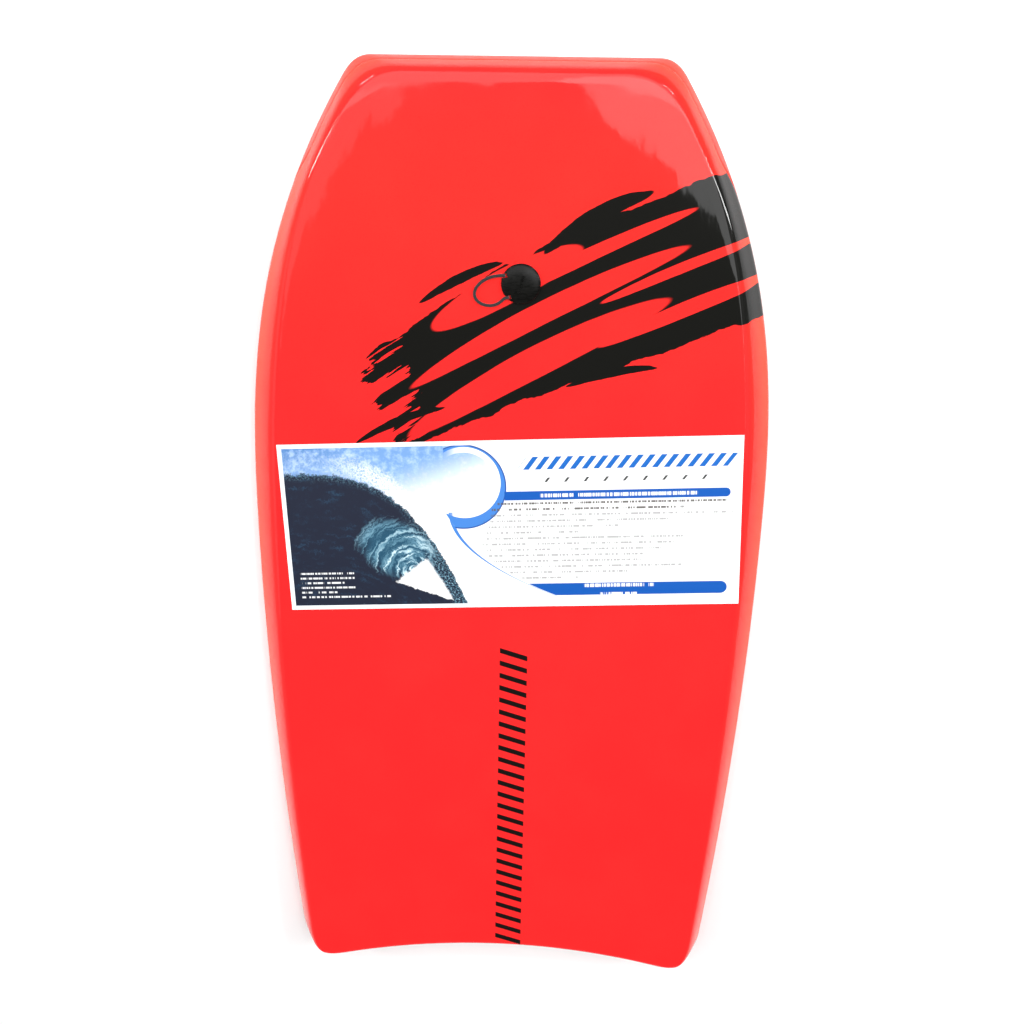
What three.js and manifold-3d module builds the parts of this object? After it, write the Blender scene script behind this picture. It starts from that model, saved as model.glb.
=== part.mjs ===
// A bodyboard lying flat on its slick. +Y points to the nose, +X to the rider's right, +Z up out of the
// deck. The origin is under the middle of the board, on the surface that it lies on. Millimetres.
//
// A foam core is covered by a deck skin that wraps over the upper bevels, a slick skin underneath, a
// rail strip on each side, and a bumper round the nose and round the tail. A stringer tube stiffens the
// core. A two-piece screwed plug clamps through the board near the nose and traps the leash loop.

import * as THREE from "three";
import { mergeVertices } from "three/addons/utils/BufferGeometryUtils.js";
import Module from "manifold-3d";

const wasm = await Module();
wasm.setup();

// Outline, seen from above
const LENGTH = 1000;
const MAX_WIDTH = 540;
const NOSE_WIDTH = 296;
const TAIL_WIDTH = 470; // where the sides, carried on, meet the line of the tail tips
const WIDEST_STATION = 440; // from the nose
const NOSE_TAPER = 2.5; // how late the nose half narrows, as a power
const TAIL_TAPER = 1.85;
const NOSE_CORNER = 14; // length that each nose corner's rounding takes from its two edges
const CREASE_CORNER = 40; // the same for the deck's edge inside the bevel
const CRESCENT_DEPTH = 24.5;
const TAIL_TIP = 195; // half the distance between the two tail tips
const CRESCENT_END = 185; // half width of the crescent before its corners start to round
const TAIL_CORNER_STATION = 960; // where the sides start to round into the tail
const TAIL_CORNER_PULL = 30; // how square the tail corners are
const TAIL_CORNER_LEAN = 3; // how far the sides lean in as they start to round

// Section, seen from the tail
const THICKNESS = 52;
const RAIL_HEIGHT = 26; // height of the widest line of the section
const NOSE_BEVEL = 15; // widths of the upper bevel
const NOSE_SIDE_BEVEL = 17;
const SIDE_BEVEL = 24;
const TAIL_SIDE_BEVEL = 14;
const TAIL_BEVEL = 4;
const BEVEL_NARROW = 80; // stations between which the sides' bevel widens behind the nose
const BEVEL_WIDE = 320;
const NOSE_TUCK = 10; // how far the lower rail runs in under the board
const SIDE_TUCK = 12;
const TAIL_TUCK = 3;

// Rocker: flat, then a gentle arc, then a straight slope up to the nose
const ROCKER_START = 100;
const ROCKER_END = 260;
const NOSE_SLOPE = 0.09;

// Skins
const SKIN = 5;
const SLICK = 3;
const GAP = 0.3; // left between pieces that touch
const GLUE_LINE = 1.8; // left between the core and the skins round its edge
const DECK_CORNER_IN = 0.45; // how far a skin moves the section's corners in, as shares of its thickness
const RAIL_CORNER_IN = 1.3;
const BUMPER_REACH = 0.4; // share of the nose bevel that the bumper covers
const BUMPER_STRAIGHT = 60; // station where the bumper's upper edge starts to run down to the rail
const BUMPER_END = 125; // station where the nose bumper ends
const TAIL_BUMPER_START = 925;

// Points along half the outline
const NOSE_STEPS = 5;
const SIDE_STEPS = 26;
const TAIL_CORNER_STEPS = 6;
const CRESCENT_STEPS = 5;

// Stringer
const STRINGER_RADIUS = 5.5;
const STRINGER_BORE = 4.5;
const STRINGER_FRONT = 245;
const STRINGER_REAR = -455;
const STRINGER_HEIGHT = 26;
const END_PLUG_HEAD = 2;
const END_PLUG_SPIGOT = 10;

// Leash plug, in its own frame: origin on the deck, +Z out of the deck, slots towards -X
const PLUG_X = 10;
const PLUG_Y = 297;
const PLUG_TURN = 11; // degrees that the slots' side is turned towards the tail
const PLUG_RADIUS = 19;
const CAP_RIM = 3.2; // height of the cap's edge
const CAP_CROWN = 5.8; // height of the cap's middle
const CAP_CEILING = 3.9; // height of the cord space under the cap
const CAP_DOME = [[0.93, 0.45], [0.75, 0.8], [0.4, 1], [0, 1]]; // shares of the radius and of the crown's rise
const SKIRT_THICKNESS = 2.2;
const BOSS_RADIUS = 8.5;
const STEM_RADIUS = 5.5;
const THREAD_ENGAGED = 5;
const SEAL_THICKNESS = 0.8;
const SLEEVE_RADIUS = 8.5;
const SLEEVE_LENGTH = 20;
const FLANGE = 2.4;
const FLANGE_CHAMFER = 0.84;
const COIN_SLOT_WIDTH = 2.2;
const COIN_SLOT_LENGTH = 17;
const COIN_SLOT_DEPTH = 1.2;
const COIN_SLOT_TURN = 62; // degrees
const ROUND_SIDES = 32;

// Leash loop
const CORD_RADIUS = 1.5;
const CORD_SIDES = 8;
const LOOP_STEPS = 28;
const ANCHOR_STEPS = 20;
const ANCHOR_BENDS = 8; // steps of the half turn round the boss
const LOOP_HEIGHT = 1.8; // of the cord's middle above the deck
const LOOP_PIVOT = -13.5;
const STRAND_SPACING = 21;
const SLOT_WIDTH = 3.9;
const SLOT_END = -10.9;

// Care label
const LABEL_WIDTH = 475;
const LABEL_HEIGHT = 181;
const LABEL_X = 4;
const LABEL_Y = 51;
const LABEL_TURN = 2.8; // degrees
const LABEL_THICKNESS = 0.4;
const LABEL_STEPS = 8; // along the board, to follow its curve

const HALF_LENGTH = LENGTH / 2;
const BORED = 0.4; // extra radius of a hole over what runs through it
const degrees = THREE.MathUtils.degToRad;
const lerp = THREE.MathUtils.lerp;

function rocker(y) {
  const arcLength = ROCKER_END - ROCKER_START;
  const along = THREE.MathUtils.clamp(y - ROCKER_START, 0, arcLength);
  return (NOSE_SLOPE * along * along) / (2 * arcLength) + NOSE_SLOPE * Math.max(y - ROCKER_END, 0);
}

// Half the board's width at a distance from the nose
function halfWidth(station) {
  const widest = MAX_WIDTH / 2;
  if (station < WIDEST_STATION) {
    const left = 1 - station / WIDEST_STATION;
    return widest - (widest - NOSE_WIDTH / 2) * left ** NOSE_TAPER;
  }
  const gone = (station - WIDEST_STATION) / (LENGTH - WIDEST_STATION);
  return widest - (widest - TAIL_WIDTH / 2) * gone ** TAIL_TAPER;
}

// A point of the side, moved in square to the outline
function sidePoint(station, inset) {
  const slope = halfWidth(station + 0.5) - halfWidth(station - 0.5);
  const across = inset * Math.hypot(1, slope);
  return new THREE.Vector2(halfWidth(station) - across, HALF_LENGTH - station);
}

function crescentPoint(x, inset) {
  return new THREE.Vector2(x, inset - HALF_LENGTH + CRESCENT_DEPTH * (1 - (x / TAIL_TIP) ** 2));
}

// The right half of the outline from the nose to the middle of the tail, moved in by the insets. The
// inset of the sides is a function of the station, and the nose corner's rounding is a length.
function halfOutline(noseInset, sideInset, tailInset, rounding) {
  const noseCorner = new THREE.Vector2(sidePoint(noseInset, sideInset(0)).x, HALF_LENGTH - noseInset);
  const noseStart = new THREE.Vector2(noseCorner.x - rounding, noseCorner.y);
  const sideStart = noseInset + rounding;
  const noseEnd = sidePoint(sideStart, sideInset(sideStart));
  const points = new THREE.QuadraticBezierCurve(noseStart, noseCorner, noseEnd).getPoints(NOSE_STEPS);
  for (let i = 1; i < SIDE_STEPS; i++) {
    const station = lerp(sideStart, TAIL_CORNER_STATION, i / SIDE_STEPS);
    points.push(sidePoint(station, sideInset(station)));
  }
  const cornerStart = sidePoint(TAIL_CORNER_STATION, sideInset(TAIL_CORNER_STATION));
  const cornerEnd = crescentPoint(CRESCENT_END, tailInset);
  const tipSlope = (2 * CRESCENT_DEPTH * CRESCENT_END) / TAIL_TIP ** 2;
  const pulledDown = cornerStart.clone().sub(new THREE.Vector2(TAIL_CORNER_LEAN, TAIL_CORNER_PULL));
  const pulledOut = cornerEnd.clone().add(new THREE.Vector2(1, -tipSlope).multiplyScalar(TAIL_CORNER_PULL));
  const corner = new THREE.CubicBezierCurve(cornerStart, pulledDown, pulledOut, cornerEnd);
  points.push(...corner.getPoints(TAIL_CORNER_STEPS));
  for (let i = 1; i <= CRESCENT_STEPS; i++) {
    points.push(crescentPoint(CRESCENT_END * (1 - i / CRESCENT_STEPS), tailInset));
  }
  return points;
}

// A closed ring round the board at one height of the flat part: down the right side, up the left
function ring(noseInset, sideInset, tailInset, height, rounding = NOSE_CORNER) {
  const right = halfOutline(noseInset, sideInset, tailInset, rounding);
  const left = right.slice(0, -1).reverse();
  const points = right.map((p) => new THREE.Vector3(p.x, p.y, height + rocker(p.y)));
  return points.concat(left.map((p) => new THREE.Vector3(-p.x, p.y, height + rocker(p.y))));
}

function blendRings(a, b, share) {
  return a.map((point, i) => point.clone().lerp(b[i], typeof share === "number" ? share : share(point, i)));
}

const HALF_POINTS = NOSE_STEPS + SIDE_STEPS + TAIL_CORNER_STEPS + CRESCENT_STEPS;
const RING_POINTS = 2 * HALF_POINTS + 1;

// Triangles that close a ring: rungs across the board, then the tail's corners and crescent
function capTriangles(points) {
  const lastRung = NOSE_STEPS + SIDE_STEPS;
  const faces = [];
  for (let k = 0; k < lastRung; k++) {
    const mirror = RING_POINTS - 1 - k;
    faces.push([k, mirror, mirror - 1], [k, mirror - 1, k + 1]);
  }
  const tail = [];
  for (let k = RING_POINTS - 1 - lastRung; k >= lastRung; k--) {
    tail.push(k);
  }
  const flat = tail.map((k) => new THREE.Vector2(points[k].x, points[k].y));
  for (const face of THREE.ShapeUtils.triangulateShape(flat, [])) {
    faces.push(face.map((k) => tail[k]));
  }
  return faces;
}

function geometryOf(points, faces) {
  const geometry = new THREE.BufferGeometry();
  const places = points.flatMap((p) => [p.x, p.y, p.z]);
  geometry.setAttribute("position", new THREE.Float32BufferAttribute(places, 3));
  geometry.setIndex(faces.flat());
  geometry.computeVertexNormals();
  return geometry;
}

// A solid with its first ring closed on top, its last one closed underneath, and walls between
function stackRings(rings) {
  const faces = [];
  for (let level = 0; level + 1 < rings.length; level++) {
    const upper = level * RING_POINTS;
    const lower = upper + RING_POINTS;
    for (let i = 0; i < RING_POINTS; i++) {
      const next = (i + 1) % RING_POINTS;
      faces.push([upper + i, upper + next, lower + i], [upper + next, lower + next, lower + i]);
    }
  }
  const last = (rings.length - 1) * RING_POINTS;
  for (const [a, b, c] of capTriangles(rings[0])) {
    faces.push([a, b, c], [last + c, last + b, last + a]);
  }
  return geometryOf(rings.flat(), faces);
}

// A strip with one section per step: each section is a row of outer points and a row of inner points
function stripSolid(sections) {
  const rows = sections[0].outer.length;
  const size = 2 * rows;
  const faces = [];
  for (let step = 0; step + 1 < sections.length; step++) {
    for (let k = 0; k < size; k++) {
      const a = step * size + k;
      const b = step * size + ((k + 1) % size);
      faces.push([a, a + size, b + size], [a, b + size, b]);
    }
  }
  const end = (sections.length - 1) * size;
  for (let k = 0; k + 1 < rows; k++) {
    const far = size - 1 - k;
    faces.push([k, k + 1, far], [k + 1, far - 1, far]);
    faces.push([end + k, end + far, end + k + 1], [end + k + 1, end + far, end + far - 1]);
  }
  const points = sections.flatMap((section) => [...section.outer, ...section.inner.slice().reverse()]);
  return geometryOf(points, faces);
}

function toSolid(geometry) {
  const bare = geometry.clone();
  bare.deleteAttribute("normal");
  bare.deleteAttribute("uv");
  const merged = mergeVertices(bare, 1e-4);
  const vertProperties = new Float32Array(merged.attributes.position.array);
  const triVerts = new Uint32Array(merged.index.array);
  return new wasm.Manifold(new wasm.Mesh({ numProp: 3, vertProperties, triVerts }));
}

function fromSolid(solid) {
  const mesh = solid.getMesh();
  const geometry = new THREE.BufferGeometry();
  geometry.setAttribute("position", new THREE.BufferAttribute(new Float32Array(mesh.vertProperties), 3));
  geometry.setIndex(new THREE.BufferAttribute(new Uint32Array(mesh.triVerts), 1));
  geometry.computeVertexNormals();
  return geometry;
}

function cut(geometry, ...tools) {
  return fromSolid(tools.reduce((solid, tool) => solid.subtract(toSolid(tool)), toSolid(geometry)));
}

function join(geometry, ...others) {
  return fromSolid(others.reduce((solid, other) => solid.add(toSolid(other)), toSolid(geometry)));
}

// A turned piece with its axis along Z, from a profile of [radius, height] pairs read up the outside
function turned(profile) {
  const geometry = new THREE.LatheGeometry(profile.map(([r, z]) => new THREE.Vector2(r, z)), ROUND_SIDES);
  return geometry.rotateX(Math.PI / 2);
}

// A straight round bar along Z between two heights
function bar(radius, low, high) {
  const geometry = new THREE.CylinderGeometry(radius, radius, high - low, ROUND_SIDES);
  return geometry.rotateX(Math.PI / 2).translate(0, 0, (low + high) / 2);
}

// A flat ring around the Z axis
function washer(inner, outer, low, high) {
  return turned([[inner, low], [outer, low], [outer, high], [inner, high], [inner, low]]);
}

function bevelWidth(station) {
  const widening = THREE.MathUtils.smoothstep(station, BEVEL_NARROW, BEVEL_WIDE);
  const past = (station - WIDEST_STATION) / (TAIL_CORNER_STATION - WIDEST_STATION);
  const ahead = lerp(NOSE_SIDE_BEVEL, SIDE_BEVEL, widening);
  return lerp(ahead, TAIL_SIDE_BEVEL, THREE.MathUtils.clamp(past, 0, 1));
}

// Rings of the section's corners, moved into the board by a skin of the given thickness: the deck's
// edge, the widest line and the slick's edge
function sectionRings(skin, deckSkin, slickSkin) {
  const bevelIn = DECK_CORNER_IN * skin;
  const railIn = RAIL_CORNER_IN * skin;
  return {
    deck: ring(
      NOSE_BEVEL + bevelIn,
      (station) => bevelWidth(station) + bevelIn,
      TAIL_BEVEL + skin,
      THICKNESS - deckSkin,
      CREASE_CORNER
    ),
    rail: ring(railIn, () => railIn, railIn, RAIL_HEIGHT),
    slick: ring(NOSE_TUCK + skin, () => SIDE_TUCK + skin, TAIL_TUCK + skin, slickSkin),
  };
}

const outside = sectionRings(0, 0, 0);
const inside = sectionRings(SKIN, SKIN, 0);
const core = sectionRings(SKIN + GLUE_LINE, SKIN + GAP, 0);

// How far down the bevel the deck skin comes at a point of the widest line: all the way, except at the
// nose, where the bumper comes up over it
function deckSkinReach(point) {
  const station = HALF_LENGTH - point.y;
  const run = THREE.MathUtils.smoothstep(station, BUMPER_STRAIGHT, BUMPER_END);
  return lerp(1 - BUMPER_REACH, 1, run);
}

const EDGE_GAP = 0.012; // GAP as a share of the section's sloping sides
const heightShare = (height) => (RAIL_HEIGHT - height) / RAIL_HEIGHT;
const STRIP_FOOT = 1 + heightShare(SLICK + GAP);

// A point of the section at a position round the rings. Level 0 is the deck's edge, 1 the widest line
// and 2 the slick's edge.
function sectionPoint(rings, position, level) {
  const first = Math.floor(position);
  const pick = (points) => {
    const near = points[(first + RING_POINTS) % RING_POINTS];
    return near.clone().lerp(points[(first + 1 + RING_POINTS) % RING_POINTS], position - first);
  };
  return level < 1
    ? pick(rings.deck).lerp(pick(rings.rail), level)
    : pick(rings.rail).lerp(pick(rings.slick), level - 1);
}

// Position round the rings of a station on the right side
function positionOf(station) {
  return NOSE_STEPS + ((station - NOSE_CORNER) / (TAIL_CORNER_STATION - NOSE_CORNER)) * SIDE_STEPS;
}

// A strip round the board's edge between two positions, with the levels that its rows run along
function edgeStrip(from, to, levelsAt) {
  const positions = [from];
  for (let p = Math.ceil(from + EDGE_GAP); p < to - EDGE_GAP; p++) {
    positions.push(p);
  }
  positions.push(to);
  const sections = positions.map((p) => {
    const levels = levelsAt(p);
    return {
      outer: levels.map((level) => sectionPoint(outside, p, level)),
      inner: levels.map((level) => sectionPoint(inside, p, level)),
    };
  });
  return stripSolid(sections);
}

const mirrorPosition = (position) => RING_POINTS - 1 - position;
const bumperEnd = positionOf(BUMPER_END);
const tailBumperStart = positionOf(TAIL_BUMPER_START);

function sideRail(from, to) {
  return edgeStrip(from + EDGE_GAP, to - EDGE_GAP, () => [1 + EDGE_GAP, STRIP_FOOT]);
}

function noseBumper() {
  return edgeStrip(mirrorPosition(bumperEnd) - RING_POINTS, bumperEnd, (p) => {
    const top = deckSkinReach(sectionPoint(outside, p, 1)) + EDGE_GAP;
    return [top, Math.max(1, top + 2 * EDGE_GAP), STRIP_FOOT];
  });
}

function tailBumper() {
  return edgeStrip(tailBumperStart, mirrorPosition(tailBumperStart), () => [1 + EDGE_GAP, STRIP_FOOT]);
}

// Puts a piece from the leash plug's own frame into the board's
function placeOnPlug(geometry) {
  const tilt = Math.atan(NOSE_SLOPE);
  geometry.rotateZ(degrees(PLUG_TURN)).rotateX(tilt);
  return geometry.translate(PLUG_X, PLUG_Y, THICKNESS + rocker(PLUG_Y));
}

const PLUG_DEPTH = THICKNESS * Math.cos(Math.atan(NOSE_SLOPE)); // deck to slick along the plug's axis

function plugHole(radius) {
  return placeOnPlug(bar(radius, -2 * PLUG_DEPTH, PLUG_DEPTH));
}

function foamCore() {
  const foot = blendRings(core.rail, core.slick, heightShare(SLICK + GAP));
  const stringerHole = bar(STRINGER_RADIUS + BORED, -HALF_LENGTH, STRINGER_FRONT + END_PLUG_HEAD + 2 * GAP);
  stringerHole.rotateX(-Math.PI / 2).translate(0, 0, STRINGER_HEIGHT);
  return cut(stackRings([core.deck, core.rail, foot]), stringerHole, plugHole(SLEEVE_RADIUS + BORED));
}

function deckSkin() {
  const reach = (point, i) => deckSkinReach(outside.rail[i]);
  const outerEdge = blendRings(outside.deck, outside.rail, reach);
  const innerEdge = blendRings(inside.deck, inside.rail, reach);
  return cut(stackRings([outside.deck, outerEdge, innerEdge, inside.deck]), plugHole(STEM_RADIUS + BORED));
}

function slickSkin() {
  const top = blendRings(outside.rail, outside.slick, heightShare(SLICK));
  return cut(stackRings([top, outside.slick]), plugHole(SLEEVE_RADIUS + BORED));
}

function stringerTube() {
  const tube = washer(STRINGER_BORE, STRINGER_RADIUS, STRINGER_REAR, STRINGER_FRONT);
  return tube.rotateX(-Math.PI / 2).translate(0, 0, STRINGER_HEIGHT);
}

// A headed plug in one end of the stringer, with its spigot running towards -Y
function stringerPlug() {
  const spigot = STRINGER_BORE - GAP;
  const plug = turned([
    [0, -END_PLUG_SPIGOT],
    [spigot, -END_PLUG_SPIGOT],
    [spigot, GAP],
    [STRINGER_RADIUS, GAP],
    [STRINGER_RADIUS, END_PLUG_HEAD],
    [0, END_PLUG_HEAD],
  ]);
  return plug.rotateX(-Math.PI / 2);
}

function coinSlot(height) {
  const slot = new THREE.BoxGeometry(COIN_SLOT_LENGTH, COIN_SLOT_WIDTH, 2 * COIN_SLOT_DEPTH);
  return slot.rotateZ(degrees(COIN_SLOT_TURN)).translate(0, 0, height);
}

// The upper half: a crowned disc with a skirt, a boss that clamps the seal, and the stem
function plugCap() {
  const stemFoot = -PLUG_DEPTH - 3 * GAP - SEAL_THICKNESS + SLEEVE_LENGTH - THREAD_ENGAGED;
  const bossFoot = 2 * GAP + SEAL_THICKNESS;
  const disc = turned([
    [0, stemFoot],
    [STEM_RADIUS, stemFoot],
    [STEM_RADIUS, bossFoot],
    [BOSS_RADIUS, bossFoot],
    [BOSS_RADIUS, CAP_CEILING],
    [PLUG_RADIUS - SKIRT_THICKNESS, CAP_CEILING],
    [PLUG_RADIUS - SKIRT_THICKNESS, GAP],
    [PLUG_RADIUS, GAP],
    [PLUG_RADIUS, CAP_RIM],
    ...CAP_DOME.map(([out, up]) => [PLUG_RADIUS * out, lerp(CAP_RIM, CAP_CROWN, up)]),
  ]);
  const cordSlots = [-1, 1].map((side) => {
    const slot = new THREE.BoxGeometry(PLUG_RADIUS, SLOT_WIDTH, 4 * CAP_CROWN);
    return slot.translate(SLOT_END - PLUG_RADIUS / 2, (side * STRAND_SPACING) / 2, 0);
  });
  return placeOnPlug(cut(disc, coinSlot(CAP_CROWN), ...cordSlots));
}

// The lower half: a flange under the slick and a sleeve that the stem screws into
function plugBase() {
  const seat = -PLUG_DEPTH - 3 * GAP - SEAL_THICKNESS;
  const base = turned([
    [0, seat - FLANGE],
    [PLUG_RADIUS - FLANGE_CHAMFER, seat - FLANGE],
    [PLUG_RADIUS, seat - FLANGE + FLANGE_CHAMFER],
    [PLUG_RADIUS, seat],
    [SLEEVE_RADIUS, seat],
    [SLEEVE_RADIUS, seat + SLEEVE_LENGTH],
    [STEM_RADIUS + GAP, seat + SLEEVE_LENGTH],
    [STEM_RADIUS + GAP, seat],
    [0, seat],
  ]);
  return placeOnPlug(cut(base, coinSlot(seat - FLANGE)));
}

function stemSeal() {
  return placeOnPlug(washer(STEM_RADIUS + GAP, BOSS_RADIUS, GAP, GAP + SEAL_THICKNESS));
}

function baseWasher() {
  const top = -PLUG_DEPTH - GAP;
  return placeOnPlug(washer(SLEEVE_RADIUS + GAP, PLUG_RADIUS - SKIRT_THICKNESS, top - SEAL_THICKNESS, top));
}

// A cord along a curve in the plug's frame
function cordAlong(points, steps) {
  const section = new THREE.Shape();
  for (let i = 0; i < CORD_SIDES; i++) {
    const angle = (i / CORD_SIDES) * 2 * Math.PI;
    const x = CORD_RADIUS * Math.cos(angle);
    const y = CORD_RADIUS * Math.sin(angle);
    if (i === 0) {
      section.moveTo(x, y);
    } else {
      section.lineTo(x, y);
    }
  }
  const extrudePath = new THREE.CatmullRomCurve3(points, false, "centripetal");
  return new THREE.ExtrudeGeometry(section, { steps, extrudePath });
}

const strand = STRAND_SPACING / 2;
const LOOP_ROUTE = [
  [LOOP_PIVOT, strand],
  [-19, 11.2],
  [-26, 11.3],
  [-32.5, 10],
  [-38.5, 7.4],
  [-43.5, 3.2],
  [-46, -2],
  [-45, -7.6],
  [-40.8, -12.2],
  [-34.6, -15],
  [-28, -15.4],
  [-22.5, -13.6],
  [-18.5, -11.2],
  [LOOP_PIVOT, -strand],
];

function overDeck(route) {
  return route.map(([x, y]) => new THREE.Vector3(x, y, LOOP_HEIGHT));
}

// The part of the loop that lies on the deck, with a round end on each pivot in the cap's slots
function leashLoop() {
  const ends = [-1, 1].map((side) => {
    const ball = new THREE.SphereGeometry(CORD_RADIUS, CORD_SIDES, CORD_SIDES);
    return ball.translate(LOOP_PIVOT, side * strand, LOOP_HEIGHT);
  });
  return placeOnPlug(join(cordAlong(overDeck(LOOP_ROUTE), LOOP_STEPS), ...ends));
}

// The part of the loop that runs round the boss inside the cap
function loopAnchor() {
  const end = LOOP_PIVOT + CORD_RADIUS + GAP;
  const route = [[end, strand], [end / 2, strand]];
  for (let i = 0; i <= ANCHOR_BENDS; i++) {
    const angle = Math.PI * (0.5 - i / ANCHOR_BENDS);
    route.push([strand * Math.cos(angle), strand * Math.sin(angle)]);
  }
  route.push([end / 2, -strand], [end, -strand]);
  return placeOnPlug(cordAlong(overDeck(route), ANCHOR_STEPS));
}

// A thin card that follows the deck
function careLabel() {
  const card = new THREE.BoxGeometry(LABEL_WIDTH, LABEL_HEIGHT, LABEL_THICKNESS, 1, LABEL_STEPS, 1);
  card.rotateZ(degrees(LABEL_TURN)).translate(LABEL_X, LABEL_Y, THICKNESS + GAP + LABEL_THICKNESS / 2);
  const places = card.attributes.position;
  for (let i = 0; i < places.count; i++) {
    places.setZ(i, places.getZ(i) + rocker(places.getY(i)));
  }
  return card;
}

const FOAM_WHITE = { color: 0xf1efe6, roughness: 0.9, metalness: 0 };
const DECK_RED = { color: 0xf02128, roughness: 0.35, metalness: 0 };
const RAIL_RED = { color: 0xe8402c, roughness: 0.45, metalness: 0 };
const SLICK_WHITE = { color: 0xe9e9e4, roughness: 0.25, metalness: 0 };
const PLUG_BLACK = { color: 0x15140f, roughness: 0.4, metalness: 0 };
const SEAL_BLACK = { color: 0x1c1c1c, roughness: 0.8, metalness: 0 };
const CORD_BLACK = { color: 0x141414, roughness: 0.85, metalness: 0 };
const STRINGER_GREY = { color: 0x2b2d30, roughness: 0.4, metalness: 0 };
const CARD_WHITE = { color: 0xf4f6f8, roughness: 0.3, metalness: 0 };

const board = new THREE.Group();

function add(name, geometry, finish) {
  const mesh = new THREE.Mesh(geometry, new THREE.MeshStandardMaterial(finish));
  mesh.name = name;
  board.add(mesh);
  return mesh;
}

add("foam_core", foamCore(), FOAM_WHITE);
add("deck_skin", deckSkin(), DECK_RED);
add("slick_skin", slickSkin(), SLICK_WHITE);
add("right_rail", sideRail(bumperEnd, tailBumperStart), RAIL_RED);
add("left_rail", sideRail(mirrorPosition(tailBumperStart), mirrorPosition(bumperEnd)), RAIL_RED);
add("nose_bumper", noseBumper(), RAIL_RED);
add("tail_bumper", tailBumper(), RAIL_RED);
add("stringer_tube", stringerTube(), STRINGER_GREY);
const frontPlug = add("stringer_front_plug", stringerPlug(), PLUG_BLACK);
frontPlug.position.set(0, STRINGER_FRONT, STRINGER_HEIGHT);
const rearPlug = add("stringer_rear_plug", stringerPlug(), PLUG_BLACK);
rearPlug.position.set(0, STRINGER_REAR, STRINGER_HEIGHT);
rearPlug.rotation.z = Math.PI;
add("leash_plug_cap", plugCap(), PLUG_BLACK);
add("leash_plug_base", plugBase(), PLUG_BLACK);
add("stem_seal", stemSeal(), SEAL_BLACK);
add("base_washer", baseWasher(), SEAL_BLACK);
add("leash_loop", leashLoop(), CORD_BLACK);
add("leash_loop_anchor", loopAnchor(), CORD_BLACK);
add("care_label", careLabel(), CARD_WHITE);

export default board;
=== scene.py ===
# The looks of the bodyboard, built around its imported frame. Metres; +Y to the nose, +X to the rider's
# right, +Z out of the deck.
import math

import bmesh
import bpy
import numpy as np
from mathutils import Matrix, Vector
from mathutils.geometry import delaunay_2d_cdt


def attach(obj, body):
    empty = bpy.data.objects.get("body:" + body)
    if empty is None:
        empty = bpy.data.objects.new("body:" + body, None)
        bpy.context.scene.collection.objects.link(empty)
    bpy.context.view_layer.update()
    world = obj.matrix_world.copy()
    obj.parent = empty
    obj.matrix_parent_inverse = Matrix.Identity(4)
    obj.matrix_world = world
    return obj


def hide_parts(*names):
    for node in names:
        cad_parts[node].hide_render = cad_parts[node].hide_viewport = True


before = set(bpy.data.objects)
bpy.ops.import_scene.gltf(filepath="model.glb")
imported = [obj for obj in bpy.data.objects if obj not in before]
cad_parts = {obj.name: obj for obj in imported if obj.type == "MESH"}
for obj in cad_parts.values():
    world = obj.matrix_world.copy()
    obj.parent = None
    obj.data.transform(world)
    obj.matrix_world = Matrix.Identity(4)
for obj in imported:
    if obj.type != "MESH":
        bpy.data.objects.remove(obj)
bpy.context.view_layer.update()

MM = 0.001

# The board's driving sizes, as its frame is designed
LENGTH = 1.0
HALF_LENGTH = LENGTH / 2
HALF_WIDTH = 0.270
NOSE_HALF = 0.148
TAIL_HALF = 0.235
WIDEST_STATION = 0.440
NOSE_TAPER = 2.5
TAIL_TAPER = 1.85
NOSE_CORNER = 0.014
CREASE_CORNER = 0.040
CRESCENT_DEPTH = 0.0245
TAIL_TIP = 0.195
CRESCENT_END = 0.185
TAIL_CORNER_STATION = 0.960
TAIL_CORNER_PULL = 0.030
TAIL_CORNER_LEAN = 0.003
THICKNESS = 0.052
RAIL_HEIGHT = 0.026
NOSE_BEVEL = 0.015
NOSE_SIDE_BEVEL = 0.017
SIDE_BEVEL = 0.024
TAIL_SIDE_BEVEL = 0.014
TAIL_BEVEL = 0.004
BEVEL_NARROW = 0.080
BEVEL_WIDE = 0.320
NOSE_TUCK = 0.010
SIDE_TUCK = 0.012
TAIL_TUCK = 0.003
ROCKER_START = 0.100
ROCKER_END = 0.260
NOSE_SLOPE = 0.09
NOSE_RISE = 0.029
SKIN = 0.005
SLICK = 0.003
DECK_CORNER_IN = 0.45  # how far the skin's inner corners stand in, as shares of its thickness
RAIL_CORNER_IN = 1.3
BUMPER_REACH = 0.4
BUMPER_STRAIGHT = 0.060
BUMPER_END = 0.125
TAIL_BUMPER_START = 0.925

# Fine surface
NOSE_RUN = 14  # steps along half the straight nose edge
CORNER_STEPS = 14
CRESCENT_STEPS = 26
SIDE_STEP = 0.008
SEAM = 0.00035  # half the gap left where two foam pieces meet
SEAM_ROUND = 0.0010  # radius of the pieces' edges along a seam
QUARTER_ROWS = 5
MERGE = 1e-6
FILL_PITCH = 0.028
HOLE_CLEAR = 1.3  # clear ring round the plug's hole, in the hole's own radii
HOLE_STEPS = 48
LIP = 0.016  # width of the flat margin modelled inside the creases
LOWER_LIP = 0.012
JOINT_STEPS = ((-1, SEAM_ROUND), (-1, 0.0), (1, 0.0), (1, SEAM_ROUND))  # side of a joint, rounding

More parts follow.
